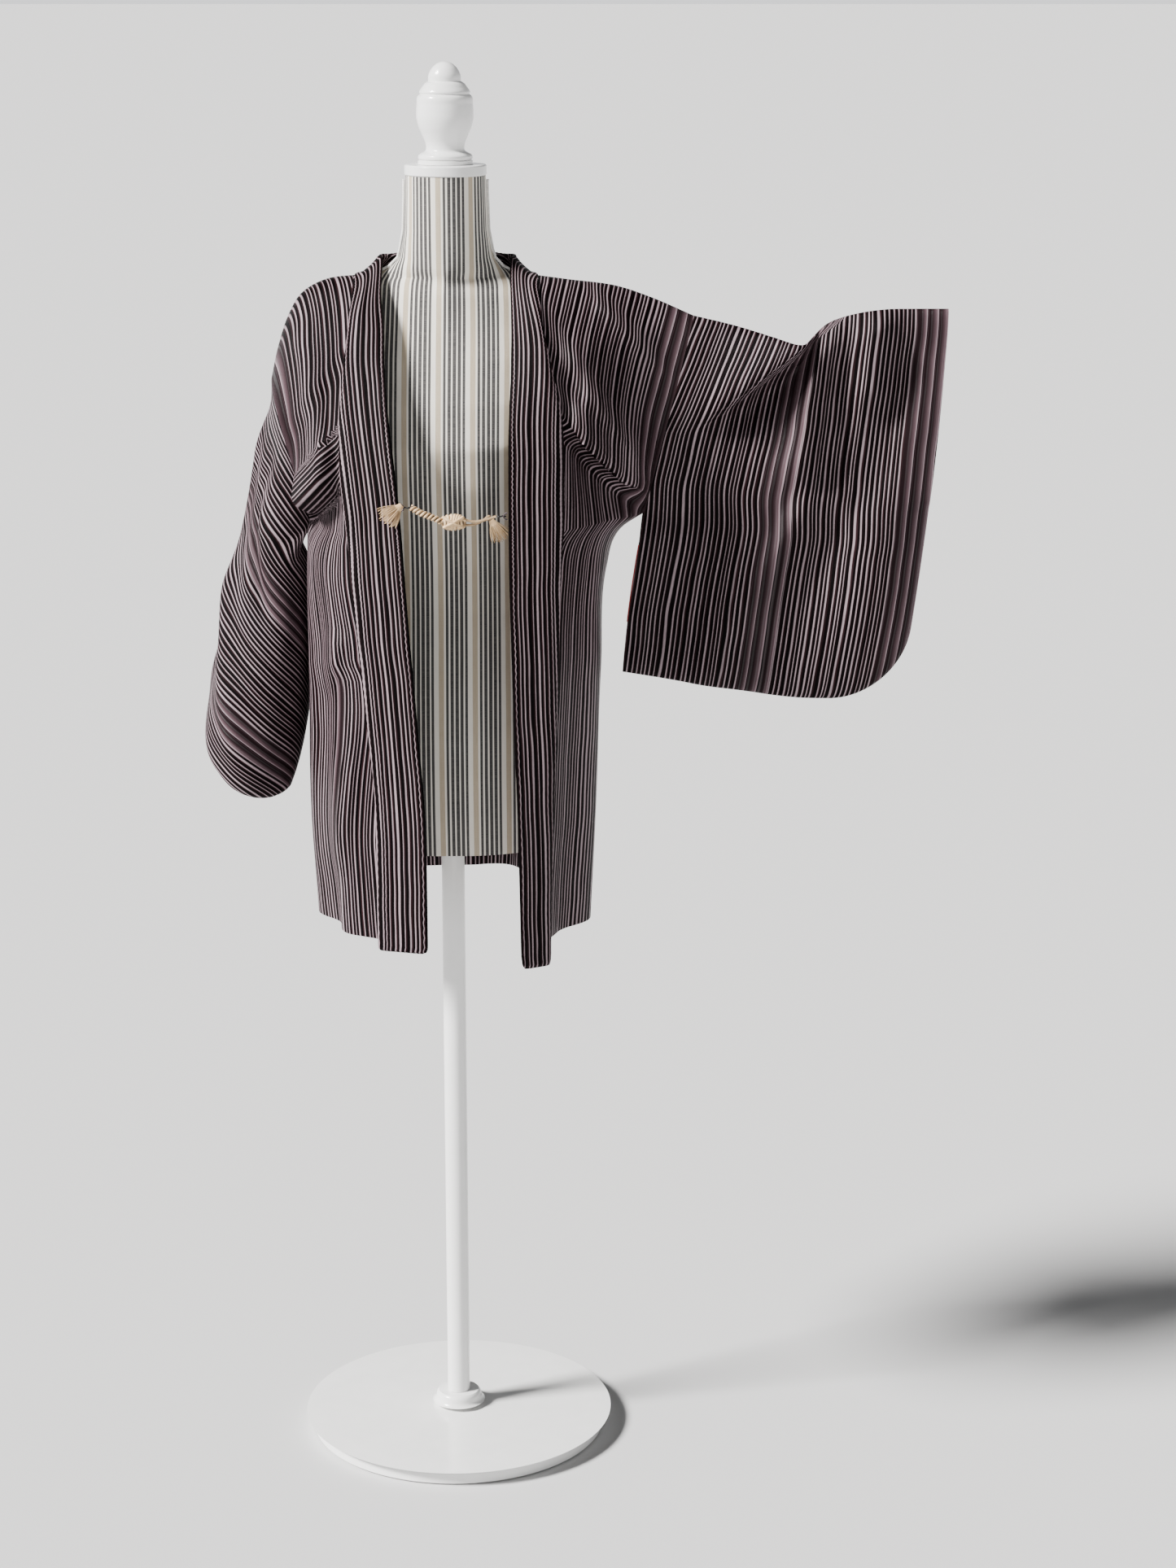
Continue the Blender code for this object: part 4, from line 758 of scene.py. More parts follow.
def collar_stations(coat, fronts, backs, side):
    """The collar's cross sections from its lower end to the centre back.

    Each is a row of points from where it lies on the panel to its folded edge.
    """
    lift = CLOTH / 2 + SEAM_GAP + COLLAR_THICKNESS / 2
    lifted = coat.points + coat.normals * lift
    up = np.array([0.0, 0.0, 1.0])
    stations = []
    for j, row in enumerate(fronts[side]):
        edge, lap = lifted[row[0]], lifted[row[1]]
        for low in (COLLAR_DROP[side], 0.0) if j == 0 else (0.0,):
            level = edge[2] - low
            level += COLLAR_RISE * smooth((level - 1.40) / 0.10)
            fold = COLLAR_FOLD[side](level)
            free = np.array([SIGN[side] * fold["x"], fold["y"], level])
            first = edge - up * low
            rest = [first + (free - first) * share for share in (0.25, 0.5, 0.75, 1.0)]
            stations.append([lap - up * low, first, *rest])
    # Round the neck the band stands up, and then its upper part turns outwards.
    steps = np.diff(np.array(stations[-1][1:]), axis=0)
    side_angles = np.degrees(np.arctan2(steps[:, 2], np.hypot(steps[:, 0], steps[:, 1])))
    side_widths = np.linalg.norm(steps, axis=1)
    for i in range(NECK_COLUMNS - 1, -1, -1):
        top, below = backs[side][-1][i], backs[side][-2][i]
        edge = lifted[top]
        lap = edge + unit(coat.points[below] - coat.points[top]) * COLLAR_NECK_LAP
        share = (NECK_COLUMNS - i) / NECK_COLUMNS
        turned = smooth(share / NAPE.key[0])
        row = NAPE(share)
        ways, spans = (np.array([row[f"{name}_{k}"] for k in range(1, 5)]) for name in ("way", "width"))
        angles = np.radians(side_angles + (ways - side_angles) * turned)
        widths = side_widths + (spans - side_widths) * turned
        out = unit(np.array([edge[0], edge[1], 0.0]))
        station = [lap, edge]
        for angle, width in zip(angles, widths):
            station.append(station[-1] + (up * math.sin(angle) - out * math.cos(angle)) * width)
        stations.append(station)
    return np.array(stations)


def torso_heights():
    """The heights of the form's rings, closer together on the shoulders."""
    body = np.linspace(TORSO.key[0], CHEST_TOP, CHEST_RINGS + 1)
    shoulder = TORSO.key[TORSO.key > CHEST_TOP]
    return np.sort(np.concatenate([body, shoulder, (shoulder[1:] + shoulder[:-1]) / 2]))


def smooth_route(points, spacing):
    """Points at an even spacing along a smooth curve through a route."""
    points = [Vector(p) for p in points]
    ends = [points[0] * 2 - points[1], *points, points[-1] * 2 - points[-2]]
    fine = []
    for a, b, c, d in zip(ends, ends[1:], ends[2:], ends[3:]):
        for t in np.arange(12) / 12:
            fine.append(0.5 * (2 * b + (c - a) * t + (2 * a - 5 * b + 4 * c - d) * t * t
                               + (3 * b - a - 3 * c + d) * t**3))
    fine = np.array([*fine, points[-1]])
    length = run_along(fine)
    at = np.linspace(0, length[-1], max(2, round(length[-1] / spacing)) + 1)
    return np.stack([np.interp(at, length, fine[:, k]) for k in range(3)], -1)


def fold_point(stations, height):
    """The point of the collar's folded edge at a height."""
    edge = stations[: LOWER_ROWS + UPPER_ROWS + 2, -1]
    return [float(np.interp(height, edge[:, 2], edge[:, k])) for k in (0, 1)] + [height]


def sagged(grid, side, mask):
    """Let a front panel hang over the lower side of its deepest fold."""
    mark = FOLD_SAGS[side]
    along, far = by_mark(mark, grid[..., 0], grid[..., 2])
    way = unit(np.array([mark["z1"] - mark["z0"], 0.0, mark["x0"] - mark["x1"]]))
    reach = np.where(far > 0, mark["above"], mark["below"])
    share = np.exp(-((far / reach) ** 2)) * smooth((along + 0.1) / 0.3) * smooth((1.15 - along) / 0.3)
    return grid + way * (mark["sag"] * share * mask)[..., None]


def askew(flat, grid, piece, side):
    """Shift a panel's stripes across, where the cloth is drawn askew."""
    x, z = grid[..., 0] * SIGN[side], grid[..., 2]
    outward = np.linspace(0, 1, x.shape[1])
    shift = np.zeros_like(x)
    for lean in STRIPE_LEANS.get(piece, ()):
        if lean["low"]:
            rise = np.maximum(z - lean["low"], 0) * smooth((by_mark(lean, x, z)[1] / LEAN_SOFT + 1) / 2)
        else:
            slope = (lean["z1"] - lean["z0"]) / (lean["x1"] - lean["x0"])
            rise = np.maximum(lean["top"] - np.maximum(z, lean["z0"] + (x - lean["x0"]) * slope), 0)
        shift += lean["rate"] * rise * (1 - lean["fade"] * outward**2)
    for bend in STRIPE_BENDS.get(piece, ()):
        shift += bend["shift"] * smooth((1 - by_mark(bend, x, z)[1] / bend["half"]) / 2) * (1 - outward**3)
    if piece in DRAWN_IN:
        share, low, high = DRAWN_IN[piece]
        shift += share * flat[..., 0] * smooth((z - low) / (high - low))
    moved = flat.copy()
    moved[..., 0] += shift
    for roll in ROLLS.get(piece, ()):
        far = by_mark(roll, x, z)[1]
        inside = smooth((roll["above"] - far) / ROLL_EDGE) * smooth((far + roll["below"]) / ROLL_EDGE)
        inside *= smooth((x - roll["x0"]) / ROLL_END)
        moved[..., 0] += (roll["first"] + far * ROLL_SHOWS - moved[..., 0]) * inside
    return moved


class Wire:
    """What one node gives out, with arithmetic that adds further nodes."""

    def __init__(self, graph, socket):
        self.graph, self.socket = graph, socket

    def __add__(self, other):
        return self.graph.math("ADD", self, other)

    def __sub__(self, other):
        return self.graph.math("SUBTRACT", self, other)

    def __rsub__(self, other):
        return self.graph.math("SUBTRACT", other, self)

    def __mul__(self, other):
        return self.graph.math("MULTIPLY", self, other)

    def __truediv__(self, other):
        return self.graph.math("DIVIDE", self, other)

    def scaled(self, factor, more):
        """This times a factor, and something more."""
        return self.graph.math("MULTIPLY_ADD", self, factor, more)

    def wave(self, length):
        return self.graph.math("SINE", self * (2 * math.pi / length))

    def step(self, low, high):
        """0 below low, 1 above high, and smooth between them."""
        node = self.graph.tree.nodes.new("ShaderNodeMapRange")
        node.interpolation_type = "SMOOTHSTEP"
        return self.graph.wire(node, {"Value": self, "From Min": low, "From Max": high})


class Graph:
    """The nodes of a material or a world, made by short calls that return wires."""

    def __init__(self, owner, shader="Principled BSDF"):
        owner.use_nodes = True
        self.owner, self.tree = owner, owner.node_tree
        self.shader = self.tree.nodes[shader]

    def put(self, socket, value):
        if isinstance(value, Wire):
            self.tree.links.new(value.socket, socket)
        else:
            socket.default_value = (*value, 1) if isinstance(value, tuple) else value

    def wire(self, node, inputs, output=0):
        for name, value in inputs.items():
            self.put(node.inputs[name], value)
        return Wire(self, node.outputs[output])

    def math(self, operation, *values):
        node = self.tree.nodes.new("ShaderNodeMath")
        node.operation = operation
        return self.wire(node, dict(enumerate(values)))

    def mix(self, share, a, b):
        node = self.tree.nodes.new("ShaderNodeMix")
        node.data_type = "RGBA"
        return self.wire(node, {0: share, 6: a, 7: b}, 2)

    def split(self, node, output):
        """The three parts of what a node gives out."""
        parts = self.tree.nodes.new("ShaderNodeSeparateXYZ")
        self.tree.links.new(node.outputs[output], parts.inputs[0])
        return [Wire(self, part) for part in parts.outputs]

    def flat_place(self):
        """The place on the flat cloth, or how deep a strand lies, for its painted shade."""
        node = self.tree.nodes.new("ShaderNodeAttribute")
        node.attribute_name = "cloth"
        return self.split(node, "Vector")

    def place(self, kind="Object"):
        return self.split(self.tree.nodes.new("ShaderNodeTexCoord"), kind)

    def noise(self, places, detail=2.0, roughness=0.5):
        """Noise by a place that is already scaled."""
        join = self.wire(self.tree.nodes.new("ShaderNodeCombineXYZ"), dict(enumerate(places)))
        inputs = {"Vector": join, "Scale": 1.0, "Detail": detail, "Roughness": roughness}
        return self.wire(self.tree.nodes.new("ShaderNodeTexNoise"), inputs)

    def random(self, value):
        node = self.tree.nodes.new("ShaderNodeTexWhiteNoise")
        node.noise_dimensions = "1D"
        return self.wire(node, {"W": value})

    def bump(self, height, strength, distance):
        node = self.tree.nodes.new("ShaderNodeBump")
        normal = self.wire(node, {"Height": height, "Strength": strength, "Distance": distance})
        self.put(self.shader.inputs["Normal"], normal)

    def finish(self, **values):
        for name, value in values.items():
            self.put(self.shader.inputs[name.replace("_", " ")], value)
        return self.owner


def new_graph(name):
    return Graph(bpy.data.materials.new(name))


def place_object(name, data):
    made = bpy.data.objects.new(name, data)
    bpy.context.collection.objects.link(made)
    return made


# The camera of the photograph: where it stands, how far it looks down, and its
# focal length in pixels of the photograph's longer side.
CAMERA_PLACE = (0.170, -3.85, 1.862)
CAMERA_DOWN = 14.5
FOCAL_PIXELS = 3900
LONG_SIDE_PIXELS = 1927
SENSOR_MM = 36.0


def add_camera():
    lens = bpy.data.cameras.new("camera")
    lens.sensor_fit = "VERTICAL"
    lens.sensor_height = SENSOR_MM
    lens.lens = FOCAL_PIXELS / LONG_SIDE_PIXELS * SENSOR_MM
    made = place_object("camera", lens)
    made.location = CAMERA_PLACE
    made.rotation_euler = (math.radians(90 - CAMERA_DOWN), 0, 0)
    bpy.context.scene.camera = made


# Where the main light comes from, how wide it is in degrees, and how strong.
SUN_FROM = (-0.90, -0.36, 0.80)
SUN_WIDTH = 14
SUN_STRENGTH = 14.0
SUN_COLOUR = (1.0, 0.985, 0.97)
# The sky's strength at the horizon and above it, and how far up it changes.
SKY = {"To Min": 1.30, "To Max": 0.15, "From Min": 0.10, "From Max": 0.32}
SKY_COLOUR = (0.97, 0.98, 1.0)
FLOOR_REACH = 150.0
FLOOR_GREY = 0.56


def add_studio():
    """A wide pale floor, a sky that is pale down to the horizon, and one soft sun."""
    mesh = bpy.data.meshes.new("floor")
    corners = [(x * FLOOR_REACH, y * FLOOR_REACH, 0) for x, y in ((-1, -1), (1, -1), (1, 1), (-1, 1))]
    mesh.from_pydata(corners, [], [(0, 1, 2, 3)])
    grey = (FLOOR_GREY, FLOOR_GREY, FLOOR_GREY)
    mesh.materials.append(new_graph("floor").finish(Base_Color=grey, Roughness=0.95, Specular_IOR_Level=0.1))
    place_object("floor", mesh)
    sky = Graph(bpy.data.worlds.new("studio"), "Background")
    rise = sky.tree.nodes.new("ShaderNodeMapRange")
    strength = sky.wire(rise, {"Value": sky.place("Generated")[2], **SKY})
    bpy.context.scene.world = sky.finish(Color=SKY_COLOUR, Strength=strength)
    sun = bpy.data.lights.new("key", "SUN")
    sun.energy = SUN_STRENGTH
    sun.angle = math.radians(SUN_WIDTH)
    sun.color = SUN_COLOUR
    place_object("key", sun).rotation_euler = (-Vector(SUN_FROM)).to_track_quat("-Z", "Y").to_euler()


# The silk's stripes, in metres across the warp.
STRIPE_PITCH = 0.0060
STRIPE_WANDER = 0.010  # how much a stripe's place wanders
STRIPE_SHAKE = 0.0010
STRIPE_WAVES = 0.005
BAND = 0.0130  # width of one of the broad shaded bands
BAND_FADE = 0.04  # over what height the bands begin and end
LIGHT_LINE = (0.300, 0.226, 0.250)
MIDDLE = (0.024, 0.010, 0.012)
DARK = (0.0012, 0.0004, 0.0006)
BAND_LIGHT = (0.095, 0.060, 0.070)
BAND_DARK = (0.009, 0.0045, 0.0055)


def striped_silk(name, zones, seed, gain=1.0, edged=False):
    """Silk with uneven stripes, and broad shaded bands where zones say.

    Zones are the middle of each group of bands across the warp, its half width, and
    between which heights it shows. Edged silk has no light line along its own edge,
    which lies at 0 across the warp.
    """
    g = new_graph(name)
    across, along, _ = g.flat_place()
    moved = across
    for fine, shift, length, detail, reach in ((60.0, 0.0, 0.25, 1.0, STRIPE_WANDER),
                                               (240.0, 3.0, 14.0, 2.0, STRIPE_SHAKE),
                                               (8.0, 5.0, 11.0, 1.0, STRIPE_WAVES)):
        noise = g.noise((across * fine, seed + shift, along * length), detail)
        moved = (noise - 0.5).scaled(reach, moved)
    count = moved / STRIPE_PITCH
    cell = g.math("FLOOR", count) + seed * 17.0
    t = g.math("FRACT", count)
    chance, other = g.random(cell), g.random(cell + 0.37)
    # Each stripe goes from black to a light line, then to a brown middle.
    line_at = other.scaled(0.16, 0.24)
    half = chance.scaled(0.070, 0.095)
    line = 1.0 - g.math("ABSOLUTE", t - line_at).step(half * 0.55, half * 1.55)
    if edged:
        line = line * across.step(-0.0014, -0.0046)
    middle = t.step(line_at, line_at + 0.10) * (1.0 - t.step(0.62, 0.82))
    # Threads along the warp give each stripe uneven lighter and darker runs.
    slub = g.noise((across * 1500.0, seed, along * 60.0), 2.0, 0.6)
    streak = g.noise((across * 420.0, seed + 8.0, along * 7.0))
    bright = chance.scaled(0.35, 0.65) * slub.scaled(0.9, 0.55) * streak.scaled(0.5, 0.75)
    colour = g.mix(middle * (other.scaled(0.9, 0.10) * slub.scaled(0.9, 0.5)), DARK, MIDDLE)
    colour = g.mix(line * bright * gain, colour, LIGHT_LINE)
    for centre, reach, low, high in zones:
        inside = 1.0 - g.math("ABSOLUTE", across - centre).step(reach - 0.0008, reach + 0.0008)
        inside = inside * along.step(low, low + BAND_FADE) * along.step(high + BAND_FADE, high)
        t = g.math("FRACT", (moved - (centre - reach)) / BAND)
        # Lightest at both edges, with its darkest part left of the middle.
        shade = g.math("MAXIMUM", 0.45 - t.step(0.02, 0.30), t.step(0.30, 0.98))
        band = g.mix(shade * slub.scaled(0.8, 0.6), BAND_DARK, BAND_LIGHT)
        band = g.mix(t.step(0.85, 0.91) * slub.scaled(0.5, 0.35), band, LIGHT_LINE)
        band = g.mix(1.0 - t.step(0.03, 0.11) * (1.0 - t.step(0.96, 1.0)), band, DARK)
        colour = g.mix(inside, colour, band)
    weave = across.wave(0.00042).scaled(along.wave(0.00055), slub * 2.4)
    g.bump(line.scaled(0.9, weave), 0.35, 0.00022)
    return g.finish(Base_Color=colour, Roughness=line.scaled(-0.06, slub.scaled(0.14, 0.40)),
                    Specular_IOR_Level=line.scaled(0.20, 0.03))


def plain_silk(name, colour):
    """A thin smooth lining silk."""
    g = new_graph(name)
    across, along, _ = g.flat_place()
    slub = g.noise((across * 900.0, 0.0, along * 60.0), 3.0)
    g.bump(across.wave(0.0006) * along.wave(0.0006) + slub, 0.3, 0.0001)
    deep = tuple(c * 0.6 for c in colour)
    return g.finish(Base_Color=g.mix(slub, deep, colour), Roughness=0.42, Sheen_Weight=0.3)


# The linen's stripes round the form: the place of each from the front's middle
# in millimetres within one repeat, its half width in millimetres, and its yarn.
LINEN_REPEAT = 0.0410
LINEN = [
    (8.6, 3.20, "beige"), (15.8, 1.60, "grey"), (21.6, 2.00, "grey"), (27.6, 2.10, "grey"),
    (33.4, 2.00, "grey"), (39.0, 1.60, "grey"),
]


def striped_linen(name):
    g = new_graph(name)
    across, along, _ = g.flat_place()
    drift = g.noise((across * 300.0, 0.0, along * 12.0))
    moved = (drift - 0.5).scaled(0.0006, across)
    t = g.math("FRACT", (moved + 1.0) / LINEN_REPEAT) * (LINEN_REPEAT * 1000)
    slub = g.noise((across * 1400.0, 1.0, along * 70.0), 3.0, 0.6)
    weft = g.noise((across * 60.0, 5.0, along * 1600.0), 3.0, 0.6)
    colour = g.mix((slub + weft) * 0.5, (0.70, 0.65, 0.56), (0.92, 0.89, 0.82))
    yarns = {"grey": g.mix(slub, (0.010, 0.010, 0.012), (0.040, 0.036, 0.038)),
             "beige": g.mix(slub, (0.36, 0.29, 0.20), (0.55, 0.46, 0.34))}
    for place, half, dyed in LINEN:
        near = 1.0 - g.math("ABSOLUTE", t - place).step(half - 0.25, half + 0.25)
        colour = g.mix(near * weft.scaled(0.25, 0.84), colour, yarns[dyed])
    g.bump(across.wave(0.0009) + along.wave(0.0009) + slub * 3.0, 0.45, 0.0002)
    return g.finish(Base_Color=colour, Roughness=0.88, Sheen_Weight=0.15)


def yarn(name, light, dark):
    """Twisted silk yarn, with painted shade where it lies deep between other strands."""
    g = new_graph(name)
    deep = g.flat_place()[0]
    fibre = g.noise([p * 900.0 for p in g.place()], 3.0, 0.6)
    tone = g.noise([p * 160.0 for p in g.place()])
    g.bump(fibre, 0.4, 0.0002)
    colour = g.mix(((fibre + tone) * 0.5).step(0.3, 0.7), dark, light)
    # A much darker copy of the yarn: painted shade for strands that lie deep between others.
    painted_shade = tuple(c * 0.22 for c in dark)
    return g.finish(Base_Color=g.mix(deep, colour, painted_shade), Roughness=0.6, Sheen_Weight=0.15)


def paint(name, colour, roughness, metallic=0.0):
    """Smooth paint with faint mottling and unevenness."""
    g = new_graph(name)
    soft = g.noise([p * 35.0 for p in g.place()], 4.0)
    fine = g.noise([p * 420.0 for p in g.place()])
    g.bump(soft + fine * 0.15, 0.12, 0.0006)
    worn = tuple(c * 0.9 for c in colour)
    return g.finish(Base_Color=g.mix(soft, worn, colour), Roughness=soft.scaled(0.14, roughness),
                    Metallic=metallic, Coat_Weight=0.25)


def new_piece(name, mesh, finish, nodes, sharp=60):
    """A piece in the place of solids, smooth but for edges above an angle."""
    mesh.shade_smooth()
    mesh.set_sharp_from_angle(angle=math.radians(sharp))
    mesh.materials.append(finish)
    piece = place_object(name, mesh)
    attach(piece, "root")
    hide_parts(*nodes)
    return piece


def mark_cloth(mesh, flat):
    """Keep each point's place on the flat cloth, for the weave and stripes."""
    attribute = mesh.attributes.new("cloth", "FLOAT_VECTOR", "POINT")
    table = np.zeros((len(mesh.vertices), 3))
    table[:, :2] = flat
    attribute.data.foreach_set("vector", table.ravel())


def cloth_wall(name, cloth, piece, thickness, finish, node):
    """A thin closed shell on both sides of a piece of cloth."""
    points, normals = cloth.drawn_back(piece)
    t = np.array(cloth.triangles[piece])
    used = np.unique(t)
    count = len(used)
    t = np.searchsorted(used, t)
    half = normals[used] * thickness / 2
    shell = np.concatenate([points[used] + half, points[used] - half])
    edges = np.concatenate([t[:, [0, 1]], t[:, [1, 2]], t[:, [2, 0]]])
    known = set(map(tuple, edges.tolist()))
    rim = sorted((a, b) for a, b in known if (b, a) not in known)
    faces = t.tolist() + (t[:, ::-1] + count).tolist()
    faces += [(b, a, a + count, b + count) for a, b in rim]
    mesh = bpy.data.meshes.new(name)
    mesh.from_pydata(shell.tolist(), [], faces)
    mark_cloth(mesh, [cloth.flat[piece][i] for i in used.tolist()] * 2)
    return new_piece(name, mesh, finish, [node])


def flat_of_front(panel):
    """Each point's place on a front panel: from the centre back, and from the hem."""
    to_seam = run_along((panel * SHOWN_SHARE)[:, ::-1], 1)[:, ::-1]
    return paired(HALF_BACK - to_seam, panel_rows(panel))


def flat_of_back(panel):
    along = panel_rows(panel)
    return paired(HALF_BACK * back_shares()[None], 2 * along[-1:] - along)


def panel_rows(panel):
    """How far up the flat cloth each row of a body panel is."""
    lower = panel[: LOWER_ROWS + 1, -1, 2] - panel[0, -1, 2]
    upper = lower[-1] + (1 - upper_shares()[1:]) * ARMHOLE_ALONG
    return np.concatenate([lower, upper])[:, None]


def sew_coat():
    """The coat's sheet, with the numbers of its fronts, backs and front sleeve layers."""
    coat = Cloth()
    fronts, backs, sleeves = {}, {}, {}
    for side, sign in SIGN.items():
        mirror = np.array([sign, 1.0, 1.0])
        body, right = f"body_{side}", side == "right"
        front, back = front_panel(side) * mirror, back_panel(side) * mirror
        plain = front_panel(side, folded=False) * mirror
        fronts[side] = coat.add(body, front, askew(flat_of_front(plain), plain, body, side), turned=right)
        backs[side] = coat.add(body, back, flat_of_back(back), turned=not right)
        strip = gusset(side) * mirror
        wide = np.linalg.norm(strip[:, -1] - strip[:, 0], axis=1)
        across = np.linspace(-0.5, 0.5, len(strip[0])) * wide[:, None] + GUSSET_ACROSS
        numbers = coat.add(f"gusset_{side}", strip, paired(across, strip[:, :1, 2]), turned=right)
        coat.trimmed[f"gusset_{side}"] = list(zip(numbers[-1], numbers[-2]))
        piece, top = f"sleeve_{side}", len(front) - 1
        for layer, panel in ((1, front), (-1, back)):
            grid = sleeve_layer(side, layer, panel[top : LOWER_ROWS - 1 : -1, -1])
            if layer == 1:
                first = grid
            else:
                grid[0] = first[0]
                grid[-1] = first[-1]
                grid[UPPER_ROWS:, -1] = first[UPPER_ROWS:, -1]
            _, across, down = sleeve_cells()
            flat = askew(paired(across, layer * down + 1.0), grid, piece, side)
            numbers = coat.add(piece, grid, flat, turned=(layer == 1) != right)
            sleeves.setdefault(side, numbers)
    coat.finish()
    return coat, fronts, backs, sleeves


def add_collar(left, right, finish):
    sheet = Cloth()
    for grid, crossed in ((left, True), (right[::-1], False)):
        across = run_along(grid, 1)
        sheet.add("collar", grid, paired(across - across[:, -1:], run_along(grid[:, 2])[:, None]),
                  turned=True, crossed=crossed)
    sheet.finish()
    made = cloth_wall("collar_band", sheet, "collar", COLLAR_THICKNESS, finish, "collar")
    soften = made.modifiers.new("rounded", "SUBSURF")
    soften.levels = soften.render_levels = 1
    return made


def add_lining(coat, sleeve, finish):
    rows = []
    for numbers in sleeve[LINING_FIRST_ROW : LINING_LAST_ROW + 1]:
        edge = coat.points[numbers[0]]
        run = unit(coat.points[numbers[SLEEVE_COLUMNS // 15]] - edge)
        thick = (CLOTH + LINING_THICKNESS) / 2 + SEAM_GAP
        under = edge - coat.normals[numbers[0]] * thick
        rows.append([under + run * out for out in (-LINING_SHOWS, LINING_WIDTH / 2, LINING_WIDTH)])
    grid = np.array(rows)
    sheet = Cloth()
    sheet.add("lining", grid, grid[..., [0, 2]], turned=True)
    sheet.finish()
    return cloth_wall("lining_edge", sheet, "lining", LINING_THICKNESS, finish, "sleeve_lining_left")


def ring_mesh(name, rings):
    """A closed mesh through level rings of points, with flat ends."""
    count, n = rings.shape[:2]
    points = np.concatenate([rings.reshape(-1, 3), rings[[0, -1], 0] * [0, 0, 1]])
    around = [(i, (i + 1) % n) for i in range(n)]
    last, low, high = (count - 1) * n, count * n, count * n + 1
    faces = [(j + a, j + b, j + n + b, j + n + a) for j in range(0, last, n) for a, b in around]
    faces += [(low, b, a) for a, b in around] + [(last + a, last + b, high) for a, b in around]
    mesh = bpy.data.meshes.new(name)
    mesh.from_pydata(points.tolist(), [], faces)
    return mesh


def add_lathe(name, profile, segments, finish, rings, node):
    """A smooth turned piece on the pole's axis from heights and radii."""
    table = Table("z r", profile)
    heights = np.unique(np.concatenate([table.key, np.linspace(table.key[0], table.key[-1], rings)]))
    radii = table(heights)["r"][:, None]
    turns = np.arange(segments) / segments * 2 * math.pi
    flat = paired(radii * np.cos(turns), radii * np.sin(turns))
    grid = np.concatenate([flat, np.broadcast_to(heights[:, None, None], (*flat.shape[:2], 1))], -1)
    new_piece(name, ring_mesh(name, grid), finish, [node], 40)


FORM_SEGMENTS = 160
FORM_RINGS = 180


def add_form(finish):
    """The form's linen-covered body, closer ringed than the solid."""
    heights = np.linspace(TORSO.key[0], TORSO.key[-1], FORM_RINGS)
    rings = torso_heights()
    row = {name: np.interp(heights, rings, found)[:, None] for name, found in TORSO(rings).items()}
    turns = np.arange(FORM_SEGMENTS) / FORM_SEGMENTS * 2 * math.pi
    sine, cosine, power = np.sin(turns), -np.cos(turns), 2 / row["round"]
    x = row["half_width"] * np.sign(sine) * np.abs(sine) ** power
    y = np.where(cosine < 0, row["front"], row["back"]) * np.sign(cosine) * np.abs(cosine) ** power
    grid = np.stack(np.broadcast_arrays(x, y, heights[:, None]), -1)
    length = run_along(np.concatenate([grid, grid[:, :1]], axis=1), 1)
    across = np.where(turns < math.pi, length[:, :-1], length[:, :-1] - length[:, -1:])
    mesh = ring_mesh("form_cover", grid)
    flat = paired(across, grid[..., 2]).reshape(-1, 2)
    mark_cloth(mesh, np.concatenate([flat, [[0, heights[0]], [0, heights[-1]]]]))
    new_piece("form_cover", mesh, finish, ["form_torso"], 50)


def axes_along(line, help_way):
    """Two axes across a line of points, at each point."""
    way = unit(np.gradient(line, axis=0))
    side = unit(np.cross(way, help_way))
    return side, np.cross(side, way)


def strand_mesh(shape, line, radius, sides, deep=0.0):
    """Add one closed strand round a line of points to a bmesh.

    Deep is how much painted shade it gets for lying between other strands, from 0 to 1.
    """
    layers = shape.verts.layers.float_vector
    mark = layers.get("cloth") or layers.new("cloth")
    line = np.array(line)
    side, depth = axes_along(line, [0.31, -0.82, 0.48])
    radii = np.broadcast_to(radius, len(line))
    turns = [2 * math.pi * i / sides for i in range(sides)]
    rings = []
    for k, point in enumerate(line):
        rings.append([shape.verts.new(point + (side[k] * math.cos(t) + depth[k] * math.sin(t)) * radii[k])
                      for t in turns])
        for made in rings[-1]:
            made[mark] = (deep, 0, 0)
    for a, b in zip(rings, rings[1:]):
        for i in range(sides):
            shape.faces.new((a[i], a[(i + 1) % sides], b[(i + 1) % sides], b[i]))
    shape.faces.new(rings[0][::-1])
    shape.faces.new(rings[-1])


def twisted(shape, route, reach, strand, count, pitch, deep=0.0):
    """Strands laid round each other along a route."""
    side, depth = axes_along(route, [0.0, -1.0, 0.0])
    for k in range(count):
        turn = 2 * math.pi * (run_along(route) / pitch + k / count)
        line = route + side * (np.cos(turn) * reach)[:, None] + depth * (np.sin(turn) * reach)[:, None]
        strand_mesh(shape, line, strand, 7, deep)


def strand_piece(name, shape, finish, nodes):
    bmesh.ops.recalc_face_normals(shape, faces=shape.faces[:])
    mesh = bpy.data.meshes.new(name)
    shape.to_mesh(mesh)
    shape.free()
    return new_piece(name, mesh, finish, nodes)


# How each twisted cord is laid: how far its strands lie from its middle, their
# radius and number, the length of one turn, and how deep in shade they lie.
BRAID = dict(reach=0.0030, strand=0.00125, count=2, pitch=0.0094)
THIN_CORD = dict(reach=0.0008, strand=0.00085, count=3, pitch=0.0075, deep=0.45)
GIMP = dict(reach=0.00085, strand=0.00105, count=2, pitch=0.0056)
GIMP_STEP = 0.0008
BRAID_CORE = 0.0029
THROUGH_KNOT = 0.0022  # radius of the strand that joins the two cords inside the knot
ROUTE_STEP = 0.0006
# The points that each cord passes, between its ends.
BRAID_BY = [(-0.026, -0.1665, 1.2375), (-0.012, -0.1680, 1.2325)]
UPPER_BY = [(0.038, -0.1670, 1.2275), (0.052, -0.1655, 1.2300)]
LOWER_BY = [(0.036, -0.1640, 1.2235), (0.047, -0.1570, 1.2275)]
